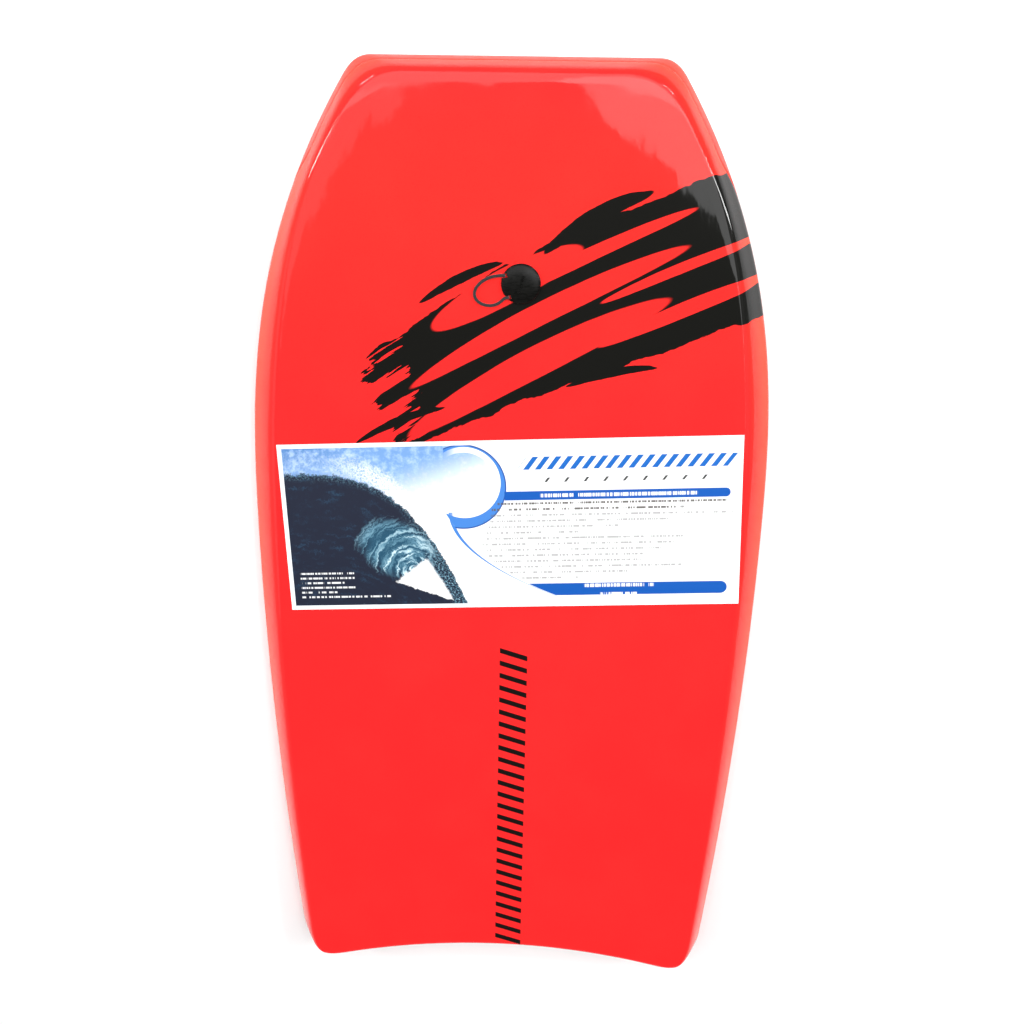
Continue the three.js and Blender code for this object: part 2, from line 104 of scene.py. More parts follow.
# Levels round the section: -1 is the flat margin, 0 the deck's crease, 1 the widest line, 2 the slick's
# edge and 3 the flat of the slick. Each corner is rounded over these shares of the spans beside it.
CREASE_BEFORE = 0.36
NOSE_CREASE = 0.28
SIDE_CREASE = 0.60
WIDEST_ROUND = (0.14, 0.17)
SLICK_ROUND = (0.10, 0.25)
CREASE_ROWS = 11  # rows of points across the deck's crease, and across any other turn
TURN_ROWS = 7

# Leash plug
PLUG = Vector((0.010, 0.297, 0))
PLUG_TURN = math.radians(11)
SLEEVE_RADIUS = 0.0085
STEM_RADIUS = 0.0055
HOLE_SLACK = 0.0004

# Care label
LABEL_CENTRE = Vector((0.004, 0.051))
LABEL_TURN = math.radians(2.8)
LABEL_SIZE = (0.475, 0.181)
LABEL_STEPS = (60, 24)
LABEL_LIFT = 0.00035
LABEL_THICKNESS = 0.0003


def rocker(y):
    arc = ROCKER_END - ROCKER_START
    along = np.clip(np.asarray(y, float) - ROCKER_START, 0, arc)
    return NOSE_SLOPE * along**2 / (2 * arc) + NOSE_SLOPE * np.maximum(y - ROCKER_END, 0)


def half_width(station):
    ahead = 1 - np.minimum(station, WIDEST_STATION) / WIDEST_STATION
    behind = np.maximum(station - WIDEST_STATION, 0) / (LENGTH - WIDEST_STATION)
    nose_loss = (HALF_WIDTH - NOSE_HALF) * ahead**NOSE_TAPER
    tail_loss = (HALF_WIDTH - TAIL_HALF) * behind**TAIL_TAPER
    return HALF_WIDTH - nose_loss - tail_loss


def smoothstep(a, b, value):
    t = np.clip((value - a) / (b - a), 0, 1)
    return t * t * (3 - 2 * t)


def bevel_width(station):
    widening = smoothstep(BEVEL_NARROW, BEVEL_WIDE, station)
    ahead = NOSE_SIDE_BEVEL + (SIDE_BEVEL - NOSE_SIDE_BEVEL) * widening
    share = np.clip((station - WIDEST_STATION) / (TAIL_CORNER_STATION - WIDEST_STATION), 0, 1)
    return ahead + (TAIL_SIDE_BEVEL - ahead) * share


def side_points(station, inset):
    half_mm = 0.5 * MM
    slope = (half_width(station + half_mm) - half_width(station - half_mm)) / MM
    return np.stack([half_width(station) - inset * np.hypot(1, slope), HALF_LENGTH - station], -1)


def crescent_points(x, inset):
    y = inset - HALF_LENGTH + CRESCENT_DEPTH * (1 - (x / TAIL_TIP) ** 2)
    return np.stack([x, y], -1)


def bezier(controls, steps):
    """Points of a Bezier curve after its first one."""
    t = np.linspace(0, 1, steps + 1)[1:, None]
    points = [np.asarray(c, float)[None] * np.ones_like(t) for c in controls]
    while len(points) > 1:
        points = [a + (b - a) * t for a, b in zip(points, points[1:])]
    return points[0]


def side_shares():
    """Shares of the way down the side, with both sides of each butt joint and their rounding."""
    run = TAIL_CORNER_STATION - NOSE_CORNER
    marks = [0.0]
    for joint in (BUMPER_END, TAIL_BUMPER_START):
        centre = joint - NOSE_CORNER
        marks += [(centre + side * (SEAM + rounding)) / run for side, rounding in JOINT_STEPS]
    marks.append(1.0)
    shares = [0.0]
    for a, b in zip(marks, marks[1:]):
        steps = max(1, round((b - a) * run / SIDE_STEP))
        shares += list(np.linspace(a, b, steps + 1)[1:])
    return np.array(shares)


SIDE_SHARES = side_shares()


def half_outline(nose_inset, side_inset, tail_inset, rounding):
    """The right half of the outline, from the middle of the nose to the middle of the tail."""
    corner = np.array([side_points(nose_inset, side_inset(0.0))[0], HALF_LENGTH - nose_inset])
    start = corner - (rounding, 0)
    first_station = nose_inset + rounding
    stations = first_station + (TAIL_CORNER_STATION - first_station) * SIDE_SHARES
    side = side_points(stations, side_inset(stations))
    end = crescent_points(np.array(CRESCENT_END), tail_inset)
    tip_slope = 2 * CRESCENT_DEPTH * CRESCENT_END / TAIL_TIP**2
    pulled_down = side[-1] - (TAIL_CORNER_LEAN, TAIL_CORNER_PULL)
    pulled_out = end + (TAIL_CORNER_PULL, -tip_slope * TAIL_CORNER_PULL)
    nose = np.linspace((0, start[1]), start, NOSE_RUN + 1)
    nose_corner = bezier([start, corner, side[0]], CORNER_STEPS)
    tail_corner = bezier([side[-1], pulled_down, pulled_out, end], CORNER_STEPS)
    tail = crescent_points(CRESCENT_END * np.linspace(1, 0, CRESCENT_STEPS + 1)[1:], tail_inset)
    return np.concatenate([nose, nose_corner, side[1:], tail_corner, tail])


def ring(nose_inset, side_inset, tail_inset, height, rounding=NOSE_CORNER):
    """A ring of points round the board: down the right side, then up the left."""
    right = half_outline(nose_inset, side_inset, tail_inset, rounding)
    left = right[-2:0:-1] * (-1, 1)
    flat = np.concatenate([right, left])
    return np.column_stack([flat, height + rocker(flat[:, 1])])


HALF_COUNT = NOSE_RUN + CORNER_STEPS + len(SIDE_SHARES) - 1 + CORNER_STEPS + CRESCENT_STEPS
RING_COUNT = 2 * HALF_COUNT
SIDE_FIRST = NOSE_RUN + CORNER_STEPS


def section_rings(skin, deck_skin):
    bevel_in = DECK_CORNER_IN * skin
    rail_in = RAIL_CORNER_IN * skin
    deck_height = THICKNESS - deck_skin

    def bevel(extra):
        return lambda station: bevel_width(station) + extra

    def even(inset):
        return lambda station: inset + 0 * station

    margin = bevel_in + LIP
    under = skin + LOWER_LIP
    return [
        ring(NOSE_BEVEL + margin, bevel(margin), TAIL_BEVEL + skin + LIP, deck_height, CREASE_CORNER),
        ring(NOSE_BEVEL + bevel_in, bevel(bevel_in), TAIL_BEVEL + skin, deck_height, CREASE_CORNER),
        ring(rail_in, even(rail_in), rail_in, RAIL_HEIGHT),
        ring(NOSE_TUCK + skin, even(SIDE_TUCK + skin), TAIL_TUCK + skin, 0.0),
        ring(NOSE_TUCK + under, even(SIDE_TUCK + under), TAIL_TUCK + under, 0.0),
    ]


OUTER = section_rings(0.0, 0.0)
INNER = section_rings(SKIN, SKIN)
STATION = HALF_LENGTH - OUTER[2][:, 1]


def plain_level(rings, level):
    """Points of every ring position at its own level, with sharp corners."""
    place = np.clip(np.broadcast_to(level, RING_COUNT) + 1, 0, len(rings) - 1)
    first = np.minimum(place.astype(int), len(rings) - 2)
    share = (place - first)[:, None]
    stack = np.stack(rings)
    index = np.arange(RING_COUNT)
    return stack[first, index] * (1 - share) + stack[first + 1, index] * share


def corner_rounds():
    """How much of the spans before and after each corner is rounded. The deck's crease softens from the
    nose to the sides."""
    after = NOSE_CREASE + (SIDE_CREASE - NOSE_CREASE) * smoothstep(BUMPER_STRAIGHT, BEVEL_WIDE, STATION)
    return (CREASE_BEFORE, after), WIDEST_ROUND, SLICK_ROUND


def level_points(rings, level):
    """Points of every ring position at its own level, with the section's corners rounded."""
    level = np.broadcast_to(np.asarray(level, float), RING_COUNT)
    points = plain_level(rings, level)
    for corner, (before, after) in enumerate(corner_rounds()):
        t = (level - (corner - before)) / (before + after)
        inside = (t > 0) & (t < 1)
        t = t[:, None]
        a = plain_level(rings, corner - before)
        b = plain_level(rings, corner)
        c = plain_level(rings, corner + after)
        curve = a * (1 - t) ** 2 + 2 * b * t * (1 - t) + c * t**2
        points = np.where(inside[:, None], curve, points)
    return points


def skin_points(level, depth):
    """Points between the outside, at depth 0, and the inner face of the skin, at depth 1."""
    outer = level_points(OUTER, level)
    return outer + (plain_level(INNER, level) - outer) * np.reshape(depth, (-1, 1))


DECK_REACH = (1 - BUMPER_REACH) + BUMPER_REACH * smoothstep(BUMPER_STRAIGHT, BUMPER_END, STATION)
SLOPE_LENGTH = 0.036  # of one level of the section, for gaps along it
LEVEL_GAP = SEAM / SLOPE_LENGTH
LEVEL_ROUND = SEAM_ROUND / SLOPE_LENGTH
FOOT_LEVEL = 2 - (SLICK + SEAM) / RAIL_HEIGHT
SLICK_TOP_LEVEL = 2 - (SLICK - SEAM) / RAIL_HEIGHT

# A quarter turn into a seam: how far along the surface and how deep, as shares of the rounding
QUARTER = [(math.sin(a), 1 - math.cos(a)) for a in np.linspace(0, math.pi / 2, QUARTER_ROWS)]
ROUND_DEPTH = SEAM_ROUND / SKIN


def seam_rows(edge, towards):
    """Levels and depths that turn from the surface into the seam at a level."""
    return [(edge - towards * LEVEL_ROUND * (1 - along), ROUND_DEPTH * deep) for along, deep in QUARTER]


def linked(name, data):
    made = bpy.data.objects.new(name, data)
    bpy.context.collection.objects.link(made)
    return made


TURNED_SHARP = math.radians(35)
FOAM_SHARP = math.radians(42)


def new_object(name, vertices, faces, smooth=True):
    mesh = bpy.data.meshes.new(name)
    mesh.from_pydata([tuple(v) for v in vertices], [], [tuple(f) for f in faces])
    bm = bmesh.new()
    bm.from_mesh(mesh)
    bmesh.ops.remove_doubles(bm, verts=bm.verts, dist=MERGE)
    bmesh.ops.recalc_face_normals(bm, faces=bm.faces)
    bm.to_mesh(mesh)
    bm.free()
    if smooth:
        shade_smooth(mesh)
    return linked(name, mesh)


def shade_smooth(mesh, angle=FOAM_SHARP):
    mesh.shade_smooth()
    mesh.set_sharp_from_angle(angle=angle)


def loft(rows, closed_ring, closed_rows):
    """Faces between rows of points. Each row runs round the ring or along a strip."""
    count = len(rows[0])
    faces = []
    last_row = len(rows) if closed_rows else len(rows) - 1
    last_column = count if closed_ring else count - 1
    for r in range(last_row):
        here, there = r * count, (r + 1) % len(rows) * count
        for c in range(last_column):
            d = (c + 1) % count
            faces.append((here + c, here + d, there + d, there + c))
    return faces


def full_turn(steps):
    return np.linspace(0, 2 * math.pi, steps, endpoint=False)


def round_plug(radius):
    """A circle round the plug's centre."""
    angles = full_turn(HOLE_STEPS)
    return np.column_stack([PLUG.x + radius * np.cos(angles), PLUG.y + radius * np.sin(angles)])


def within(outline, points):
    """Whether each point lies inside a closed outline."""
    x, y = points[:, :1], points[:, 1:]
    a, b = outline, np.roll(outline, -1, axis=0)
    spans = (a[:, 1] > y) != (b[:, 1] > y)
    rise = np.where(a[:, 1] == b[:, 1], 1.0, b[:, 1] - a[:, 1])
    crossing = a[:, 0] + (y - a[:, 1]) * (b[:, 0] - a[:, 0]) / rise
    return (spans & (x < crossing)).sum(1) % 2 == 1


def fill(edge, hole, height_at):
    """A sheet inside an outline and round a hole, as points and triangles. The outline's points come
    first, then the hole's."""
    steps = [np.arange(edge[:, k].min(), edge[:, k].max(), FILL_PITCH) + FILL_PITCH / 2 for k in (0, 1)]
    grid = np.array([(x, y) for y in steps[1] for x in steps[0]])
    far = np.array([np.min(np.hypot(*(edge - p).T)) > FILL_PITCH / 2 for p in grid])
    reach = HOLE_CLEAR * np.hypot(*(hole[0] - PLUG.xy))
    clear = np.hypot(grid[:, 0] - PLUG.x, grid[:, 1] - PLUG.y) > reach
    flat = np.concatenate([edge, hole, grid[far & clear & within(edge, grid)]])
    n, m = len(edge), len(hole)
    links = [(i, (i + 1) % n) for i in range(n)] + [(n + i, n + (i + 1) % m) for i in range(m)]
    made = delaunay_2d_cdt([Vector(p) for p in flat], links, [], 0, 1e-9, True)
    back = [ids[0] for ids in made[3]]
    faces = np.array([[back[k] for k in face] for face in made[2]])
    centres = flat[faces].mean(1)
    kept = faces[within(edge, centres) & ~within(hole, centres)]
    return np.column_stack([flat, height_at(flat[:, 1])]), kept.tolist()


def plate(name, rows, top_height, bottom_height, hole_radius):
    """A skin over the whole board: rows of ring points from its upper margin round its edge to its
    lower margin, closed by a sheet above and below, with a round hole for the plug."""
    points = list(np.concatenate(rows))
    faces = loft(rows, True, False)
    hole = round_plug(hole_radius)
    rims = []
    for row, height in ((rows[0], top_height), (rows[-1], bottom_height)):
        sheet, triangles = fill(row[:, :2], hole, lambda y, h=height: h + rocker(y))
        sheet[: len(row)] = row
        base = len(points)
        points += list(sheet)
        faces += [[base + k for k in triangle] for triangle in triangles]
        rims.append([base + len(row) + k for k in range(len(hole))])
    for k in range(len(hole)):
        n = (k + 1) % len(hole)
        faces.append((rims[0][k], rims[0][n], rims[1][n], rims[1][k]))
    return new_object(name, points, faces)


def deck_skin():
    (before, first), *_ = corner_rounds()
    crease = np.linspace(-before + 0 * first, first, CREASE_ROWS)
    upper = [(-1, 0), (-0.75, 0)] + [(level, 0) for level in crease]
    edge = DECK_REACH - LEVEL_GAP
    stop = edge - LEVEL_ROUND
    middle = [(first + (stop - first) * t, 0) for t in np.linspace(0, 1, TURN_ROWS)[1:-1]]
    lower = seam_rows(edge, 1)
    inside = [(edge, 1), (0.0, 1), (-1, 1)]
    rows = [skin_points(level, depth) for level, depth in upper + middle + lower + inside]
    return plate("deck_foam_skin", rows, THICKNESS, THICKNESS - SKIN, STEM_RADIUS + HOLE_SLACK)


def slick_skin():
    top_margin = OUTER[4] + (0, 0, SLICK - SEAM)
    top = level_points(OUTER, SLICK_TOP_LEVEL)
    turn = np.linspace(SLICK_TOP_LEVEL, 2 + SLICK_ROUND[1], TURN_ROWS)[1:]
    around = [level_points(OUTER, level) for level in turn]
    rows = [top_margin, top] + around + [level_points(OUTER, 3)]
    return plate("slick_sheet", rows, SLICK - SEAM, 0.0, SLEEVE_RADIUS + HOLE_SLACK)


def strip(name, indexes, top_edge, joints):
    """A foam strip along ring positions, from the level of its top edge down to the slick."""
    indexes = np.asarray(indexes)
    foot = FOOT_LEVEL - LEVEL_GAP
    start = top_edge + LEVEL_GAP
    top = seam_rows(start, -1)[::-1]
    reach = np.maximum(start + LEVEL_ROUND, 1 - WIDEST_ROUND[0])
    bevel = [(start + LEVEL_ROUND + (reach - start - LEVEL_ROUND) * t, 0) for t in (0.33, 0.66, 1)]
    turn = [(reach + (1 + WIDEST_ROUND[1] - reach) * t, 0) for t in np.linspace(0, 1, TURN_ROWS)[1:]]
    tuck = [(level, 0) for level in np.linspace(1 + WIDEST_ROUND[1], foot - LEVEL_ROUND, 5)[1:-1]]
    inside = [(foot, 1), (np.maximum(1, start), 1), (start, 1)]
    rows = []
    for level, depth in top + bevel + turn + tuck + seam_rows(foot, 1) + inside:
        sunk = np.full(RING_COUNT, float(depth))
        for joint in joints:
            sunk[joint] = max(depth, ROUND_DEPTH)
        rows.append(skin_points(level, sunk)[indexes])
    faces = loft(rows, False, True)
    count = len(indexes)
    for column in (0, count - 1):
        faces.append([r * count + column for r in range(len(rows))])
    return new_object(name, np.concatenate(rows), faces)


def side_index(distance, side):
    """Ring position on the right side whose share lies at a distance down the side."""
    run = TAIL_CORNER_STATION - NOSE_CORNER
    share = (distance - NOSE_CORNER) / run
    return SIDE_FIRST + int(np.argmin(np.abs(SIDE_SHARES - share - side * SEAM / run)))


def mirrored(index):
    return (RING_COUNT - index) % RING_COUNT


def foam_strips():
    bumper_end = side_index(BUMPER_END, -1)
    rail_start = side_index(BUMPER_END, 1)
    rail_end = side_index(TAIL_BUMPER_START, -1)
    tail_start = side_index(TAIL_BUMPER_START, 1)
    nose_run = [(k % RING_COUNT) for k in range(-bumper_end, bumper_end + 1)]
    nose_ends = [bumper_end, mirrored(bumper_end)]
    nose = strip("nose_bumper_foam", nose_run, DECK_REACH, nose_ends)
    right = strip("right_rail_foam", range(rail_start, rail_end + 1), 1.0, [rail_start, rail_end])
    left_run = range(mirrored(rail_end), mirrored(rail_start) + 1)
    left = strip("left_rail_foam", left_run, 1.0, [mirrored(rail_end), mirrored(rail_start)])
    tail_run = range(tail_start, mirrored(tail_start) + 1)
    tail = strip("tail_bumper_foam", tail_run, 1.0, [tail_start, mirrored(tail_start)])
    return nose, right, left, tail


# ---------------------------------------------------------------- leash plug and loop

CAP_TOP = 5.8
CAP_PROFILE = [
    (0.0, CAP_TOP), (4.0, 5.78), (8.0, 5.62), (11.5, 5.3), (14.4, 4.85), (16.4, 4.4), (17.6, 4.02),
    (18.4, 3.6), (18.85, 3.15), (19.0, 2.6), (19.0, 0.55), (18.8, 0.3), (17.0, 0.3), (16.8, 0.5),
    (16.8, 3.9), (8.5, 3.9), (8.5, 1.6), (8.3, 1.4), (5.5, 1.4), (5.5, -36.9), (5.0, -37.6), (0.0, -37.7),
]  # radius and height above the deck, mm
PLUG_DEPTH = THICKNESS * math.cos(math.atan(NOSE_SLOPE)) / MM
WASHER_ROOM = 1.7
BASE_SEAT = -PLUG_DEPTH - WASHER_ROOM
BASE_FOOT = -2.4
BASE_PROFILE = [
    (0.0, 0.0), (5.8, 0.0), (5.8, 19.6), (6.2, 20.0), (8.1, 20.0), (8.5, 19.6), (8.5, 0.0), (17.6, 0.0),
    (18.6, -0.15), (19.0, -0.6), (19.0, -1.3), (18.6, -1.9), (17.9, -2.3), (17.0, BASE_FOOT),
    (0.0, BASE_FOOT),
]  # radius and height above the flange's seat, mm
ROUND_STEPS = 96
SLOT_END_STEPS = 9
COIN_SLOT = (17.0, 2.2, 1.2)  # length, width and depth
COIN_TURN = math.radians(62)
CORD_SLOT = (19.0, 3.9, 11.0)
CORD_SLOT_END = -10.9
STRAND = 10.5  # from the plug's middle line to each side of the loop


def plug_frame():
    """From the plug's own frame, in mm, to the board's, in metres."""
    height = THICKNESS + float(rocker(PLUG.y))
    place = Matrix.Translation((PLUG.x, PLUG.y, height))
    tilt = Matrix.Rotation(math.atan(NOSE_SLOPE), 4, "X")
    return place @ tilt @ Matrix.Rotation(PLUG_TURN, 4, "Z") @ Matrix.Scale(MM, 4)


def lathe(name, profile):
    """A turned piece from its profile of radius and height, which starts and ends on the axis."""
    angles = full_turn(ROUND_STEPS)
    rows = [np.column_stack([r * np.cos(angles), r * np.sin(angles), 0 * angles + z]) for r, z in profile]
    return new_object(name, np.concatenate(rows), loft(rows, True, False))


def cutter(outline, half, matrix):
    """A prism on an outline in the plug's plane, half its height above and half below."""
    rows = [[matrix @ Vector((x, y, z)) for x, y in outline] for z in (-half, half)]
    n = len(outline)
    faces = loft(rows, True, False) + [tuple(range(n)), tuple(range(n, 2 * n))]
    return new_object("cutter", rows[0] + rows[1], faces, smooth=False)


def square_slot(length, width, height, matrix):
    corners = ((-1, -1), (1, -1), (1, 1), (-1, 1))
    return cutter([(x * length / 2, y * width / 2) for x, y in corners], height / 2, matrix)


def rounded_slot(length, width, depth, matrix):
    half = length / 2 - width / 2
    outline = []
    for end in (1, -1):
        for a in np.linspace(-math.pi / 2, math.pi / 2, SLOT_END_STEPS):
            outline.append((end * (half + width / 2 * math.cos(a)), end * width / 2 * math.sin(a)))
    return cutter(outline, depth, matrix)


def carve(target, cutters):
    for cutter in cutters:
        step = target.modifiers.new("cut", "BOOLEAN")
        step.operation = "DIFFERENCE"
        step.solver = "EXACT"
        step.object = cutter
    apply_modifiers(target)
    for cutter in cutters:
        bpy.data.objects.remove(cutter)


def apply_modifiers(target):
    graph = bpy.context.evaluated_depsgraph_get()
    mesh = bpy.data.meshes.new_from_object(target.evaluated_get(graph))
    target.modifiers.clear()
    target.data = mesh
    shade_smooth(mesh, TURNED_SHARP)


def coin_slot(height):
    return rounded_slot(*COIN_SLOT, Matrix.Translation((0, 0, height)) @ Matrix.Rotation(COIN_TURN, 4, "Z"))


def plug_cap():
    cap = lathe("leash_plug_top", CAP_PROFILE)
    cutters = [coin_slot(CAP_TOP)]
    for side in (-1, 1):
        centre = (CORD_SLOT_END - CORD_SLOT[0] / 2, side * STRAND, 0)
        cutters.append(square_slot(*CORD_SLOT, Matrix.Translation(centre)))
    carve(cap, cutters)
    cap.data.transform(plug_frame())
    return cap


def plug_base():
    base = lathe("leash_plug_flange", BASE_PROFILE)
    carve(base, [coin_slot(BASE_FOOT)])
    base.data.transform(plug_frame() @ Matrix.Translation((0, 0, BASE_SEAT)))
    return base


CORD_DIAMETER = 0.003
CORD_SIDES = 40
CORD_STEP = 0.00022
SPLINE_STEPS = 12
BRAID_STRANDS = 8
BRAID_PITCH = 0.0042
BRAID_DEPTH = 0.00024
BRAID_UNDER = 0.25  # how much of a strand shows where it runs under another
LOOP_HEIGHT = 1.8
LOOP_ROUTE = [
    (-13.5, STRAND), (-19.0, 11.2), (-26.0, 11.3), (-32.5, 10.0), (-38.5, 7.4), (-43.5, 3.2),
    (-46.0, -2.0), (-45.0, -7.6), (-40.8, -12.2), (-34.6, -15.0), (-28.0, -15.4), (-22.5, -13.6),
    (-18.5, -11.2), (-13.5, -STRAND),
]  # in the plug's frame, mm


def between(a, b, start, end, t):
    """The point at t on the way from a, at start, to b, at end."""
    return (a * (end - t) + b * (t - start)) / (end - start)


def spline_through(points, steps):
    """A smooth line through points, as a centripetal Catmull-Rom curve."""
    p = np.array([2 * points[0] - points[1], *points, 2 * points[-1] - points[-2]])
    knots = np.concatenate([[0], np.cumsum(np.sqrt(np.linalg.norm(np.diff(p, axis=0), axis=1)))])
    line = []
    for i in range(1, len(p) - 2):
        k = knots[i - 1 : i + 3]
        for t in np.linspace(k[1], k[2], steps, endpoint=False):
            a = [between(p[i - 1 + j], p[i + j], k[j], k[j + 1], t) for j in range(3)]
            b = [between(a[j], a[j + 1], k[j], k[j + 2], t) for j in range(2)]
            line.append(between(b[0], b[1], k[1], k[2], t))
    line.append(p[-2])
    return np.array(line)


def even_steps(line, pitch):
    """Points along a line at an even pitch."""
    reach = np.concatenate([[0], np.cumsum(np.linalg.norm(np.diff(line, axis=0), axis=1))])
    places = np.linspace(0, reach[-1], round(reach[-1] / pitch) + 1)
    return np.column_stack([np.interp(places, reach, line[:, k]) for k in range(3)]), places


def braid(around, along):
    """How high the crossing strands of a braid stand at a place on its tube, from 0 to 1."""
    right = np.abs(np.sin(BRAID_STRANDS / 2 * around + math.pi * along / BRAID_PITCH))
    left = np.abs(np.sin(BRAID_STRANDS / 2 * around - math.pi * along / BRAID_PITCH))
    over = np.sin(BRAID_STRANDS * around) * np.sin(2 * math.pi * along / BRAID_PITCH) > 0
    top, bottom = np.where(over, right, left), np.where(over, left, right)
    return (1 - BRAID_UNDER) * top + BRAID_UNDER * bottom


def leash_loop():
    """The cord loop on the deck, as a braided tube between the two slots in the cap's skirt."""
    to_board = plug_frame()
    route = np.array([to_board @ Vector((x, y, LOOP_HEIGHT)) for x, y in LOOP_ROUTE])
    line, along = even_steps(spline_through(route, SPLINE_STEPS), CORD_STEP)
    ahead = np.gradient(line, axis=0)
    ahead /= np.linalg.norm(ahead, axis=1)[:, None]
    up = np.array(to_board.to_3x3() @ Vector((0, 0, 1)))
    up = up / np.linalg.norm(up)
    side = np.cross(ahead, up)
    around = full_turn(CORD_SIDES)
    rows = []
    for k, centre in enumerate(line):
        radius = CORD_DIAMETER / 2 - BRAID_DEPTH * (1 - braid(around, along[k]))
        out = radius * (np.cos(around), np.sin(around))
        rows.append(centre + out[0][:, None] * side[k] + out[1][:, None] * up)
    faces = loft(rows, True, False)
    last = (len(rows) - 1) * CORD_SIDES
    faces += [tuple(range(CORD_SIDES)), tuple(range(last, last + CORD_SIDES))]
    made = new_object("leash_cord", np.concatenate(rows), faces)
    made.data.shade_smooth()
    return made, line, float(along[-1])


def care_label():
    """The printed card, which follows the deck's curve. Each row runs over its face and back under."""
    across, along = LABEL_STEPS
    turn = Matrix.Rotation(LABEL_TURN, 2)
    rows = []
    for y in np.linspace(-0.5, 0.5, along + 1) * LABEL_SIZE[1]:
        line = [turn @ Vector((x, y)) for x in np.linspace(-0.5, 0.5, across + 1) * LABEL_SIZE[0]]
        flat = np.array(line) + np.array(LABEL_CENTRE)
        under = np.column_stack([flat, THICKNESS + LABEL_LIFT + rocker(flat[:, 1])])
        rows.append(np.concatenate([under + (0, 0, LABEL_THICKNESS), under[::-1]]))
    faces = loft(rows, True, False)
    count = len(rows[0])
    for first in (0, along * count):
        last = first + count - 1
        faces += [(first + k, first + k + 1, last - k - 1, last - k) for k in range(across)]
    return new_object("printed_card", np.concatenate(rows), faces)


# ---------------------------------------------------------------- materials

class Field:
    """A number worked out over a surface by shader nodes, written like arithmetic."""

    def __init__(self, tree, socket):
        self.tree = tree
        self.socket = socket

    def math(self, operation, *others):
        node = add_node(self.tree, "Math", self, *others)
        node.operation = operation
        return Field(self.tree, node.outputs[0])

    def __add__(self, other):
        return self.math("ADD", other)

    def __sub__(self, other):
        return self.math("SUBTRACT", other)

    def __mul__(self, other):
        return self.math("MULTIPLY", other)

    def __truediv__(self, other):
        return self.math("DIVIDE", other)

    def __rsub__(self, other):
        return (self * -1) + other

    def __abs__(self):
        return self.math("ABSOLUTE")

    def lower(self, other):
        return self.math("MINIMUM", other)

    def higher(self, other):
        return self.math("MAXIMUM", other)

    def smooth(self, low, high, out_low=0, out_high=1):
        """Runs smoothly from one value to another as the field goes from low to high."""
        node = add_node(self.tree, "MapRange", self, low, high, out_low, out_high)
        node.interpolation_type = "SMOOTHSTEP"
        return Field(self.tree, node.outputs[0])

    def below(self, edge, blur):
        """1 where the field is under the edge, and 0 over it."""
        return (self - edge).smooth(-blur, blur, 1, 0)


def connect(tree, value, slot):
    if isinstance(value, Field):
        tree.links.new(value.socket, slot)
    elif isinstance(value, bpy.types.NodeSocket):
        tree.links.new(value, slot)
    else:
        slot.default_value = value


def add_node(tree, kind, *values, **named):
    """A shader node with its inputs set or linked, in order or by name."""
    node = tree.nodes.new("ShaderNode" + kind)
    for slot, value in zip(node.inputs, values):
        connect(tree, value, slot)
    for name, value in named.items():
        connect(tree, value, node.inputs[name])
    return node


def distance(a, b):
    return (a * a + b * b).math("SQRT")


class Surface:
    """A procedural material: layers of colour, a roughness and a bump over one Principled shader."""

    def __init__(self, name, colour):
        self.material = bpy.data.materials.new(name)
        self.material.use_nodes = True
        self.tree = self.material.node_tree
        self.shader = self.tree.nodes["Principled BSDF"]
        self.where = add_node(self.tree, "TexCoord").outputs["Object"]
        split = add_node(self.tree, "SeparateXYZ", self.where)
        self.x, self.y, self.z = (Field(self.tree, output) for output in split.outputs)
        self.colour = (*colour, 1)

    def set(self, **values):
        for name, value in values.items():
            connect(self.tree, value, self.shader.inputs[name.replace("_", " ")])

    def point(self, x, y, z=0):
        return add_node(self.tree, "CombineXYZ", x, y, z).outputs[0]

    def noise(self, scale, detail=2, at=None, rough=0.5):
        settings = dict(Vector=at or self.where, Scale=scale, Detail=detail, Roughness=rough)
        return Field(self.tree, add_node(self.tree, "TexNoise", **settings).outputs[0])

    def drawn_noise(self, x, y, z=0, detail=3, rough=0.6):
        """Noise with its own scale along each axis, for lines and streaks."""
        at = self.point(self.x * x, self.y * y, self.z * z if z else 0)
        return self.noise(1, detail, at, rough)

    def cells(self, scale, feature="F1"):
        node = add_node(self.tree, "TexVoronoi", Vector=self.where, Scale=scale)
        node.feature = feature
        return Field(self.tree, node.outputs["Distance"])

    def layer(self, share, colour):
        node = add_node(self.tree, "Mix")
        node.data_type = "RGBA"
        for slot, value in ((0, share), (6, self.colour), (7, (*colour, 1))):
            connect(self.tree, value, node.inputs[slot])
        self.colour = node.outputs[2]

    def bump(self, height, strength, depth, coat=False):
        node = add_node(self.tree, "Bump", Strength=strength, Distance=depth, Height=height)
        self.tree.links.new(node.outputs[0], self.shader.inputs["Coat Normal" if coat else "Normal"])

    def done(self):
        connect(self.tree, self.colour, self.shader.inputs["Base Color"])
        return self.material


def turned_fields(paint, centre, angle):
    """Distances along and across a direction, from a centre on the deck."""
    dx = paint.x - centre[0]
    dy = paint.y - centre[1]
    c, s = math.cos(angle), math.sin(angle)
    return dx * c + dy * s, dy * c - dx * s


SWEEP_CENTRE = (0.060, 0.280)
SWEEP_ANGLE = math.radians(27)
SWEEP_LEFT = -0.205
INK_BLUR = 0.0004
INK = (0.004, 0.004, 0.003)

# Red openings in the sweep: middle along and across, half length, half thickness
SWEEP_OPENINGS = (
    (-0.052, 0.0425, 0.082, 0.0165),
    (-0.060, -0.036, 0.145, 0.0150),
    (-0.030, 0.004, 0.150, 0.0105),
    (0.030, 0.034, 0.110, 0.0065),
    (0.095, -0.050, 0.090, 0.0070),
    (0.110, -0.012, 0.085, 0.0050),
)


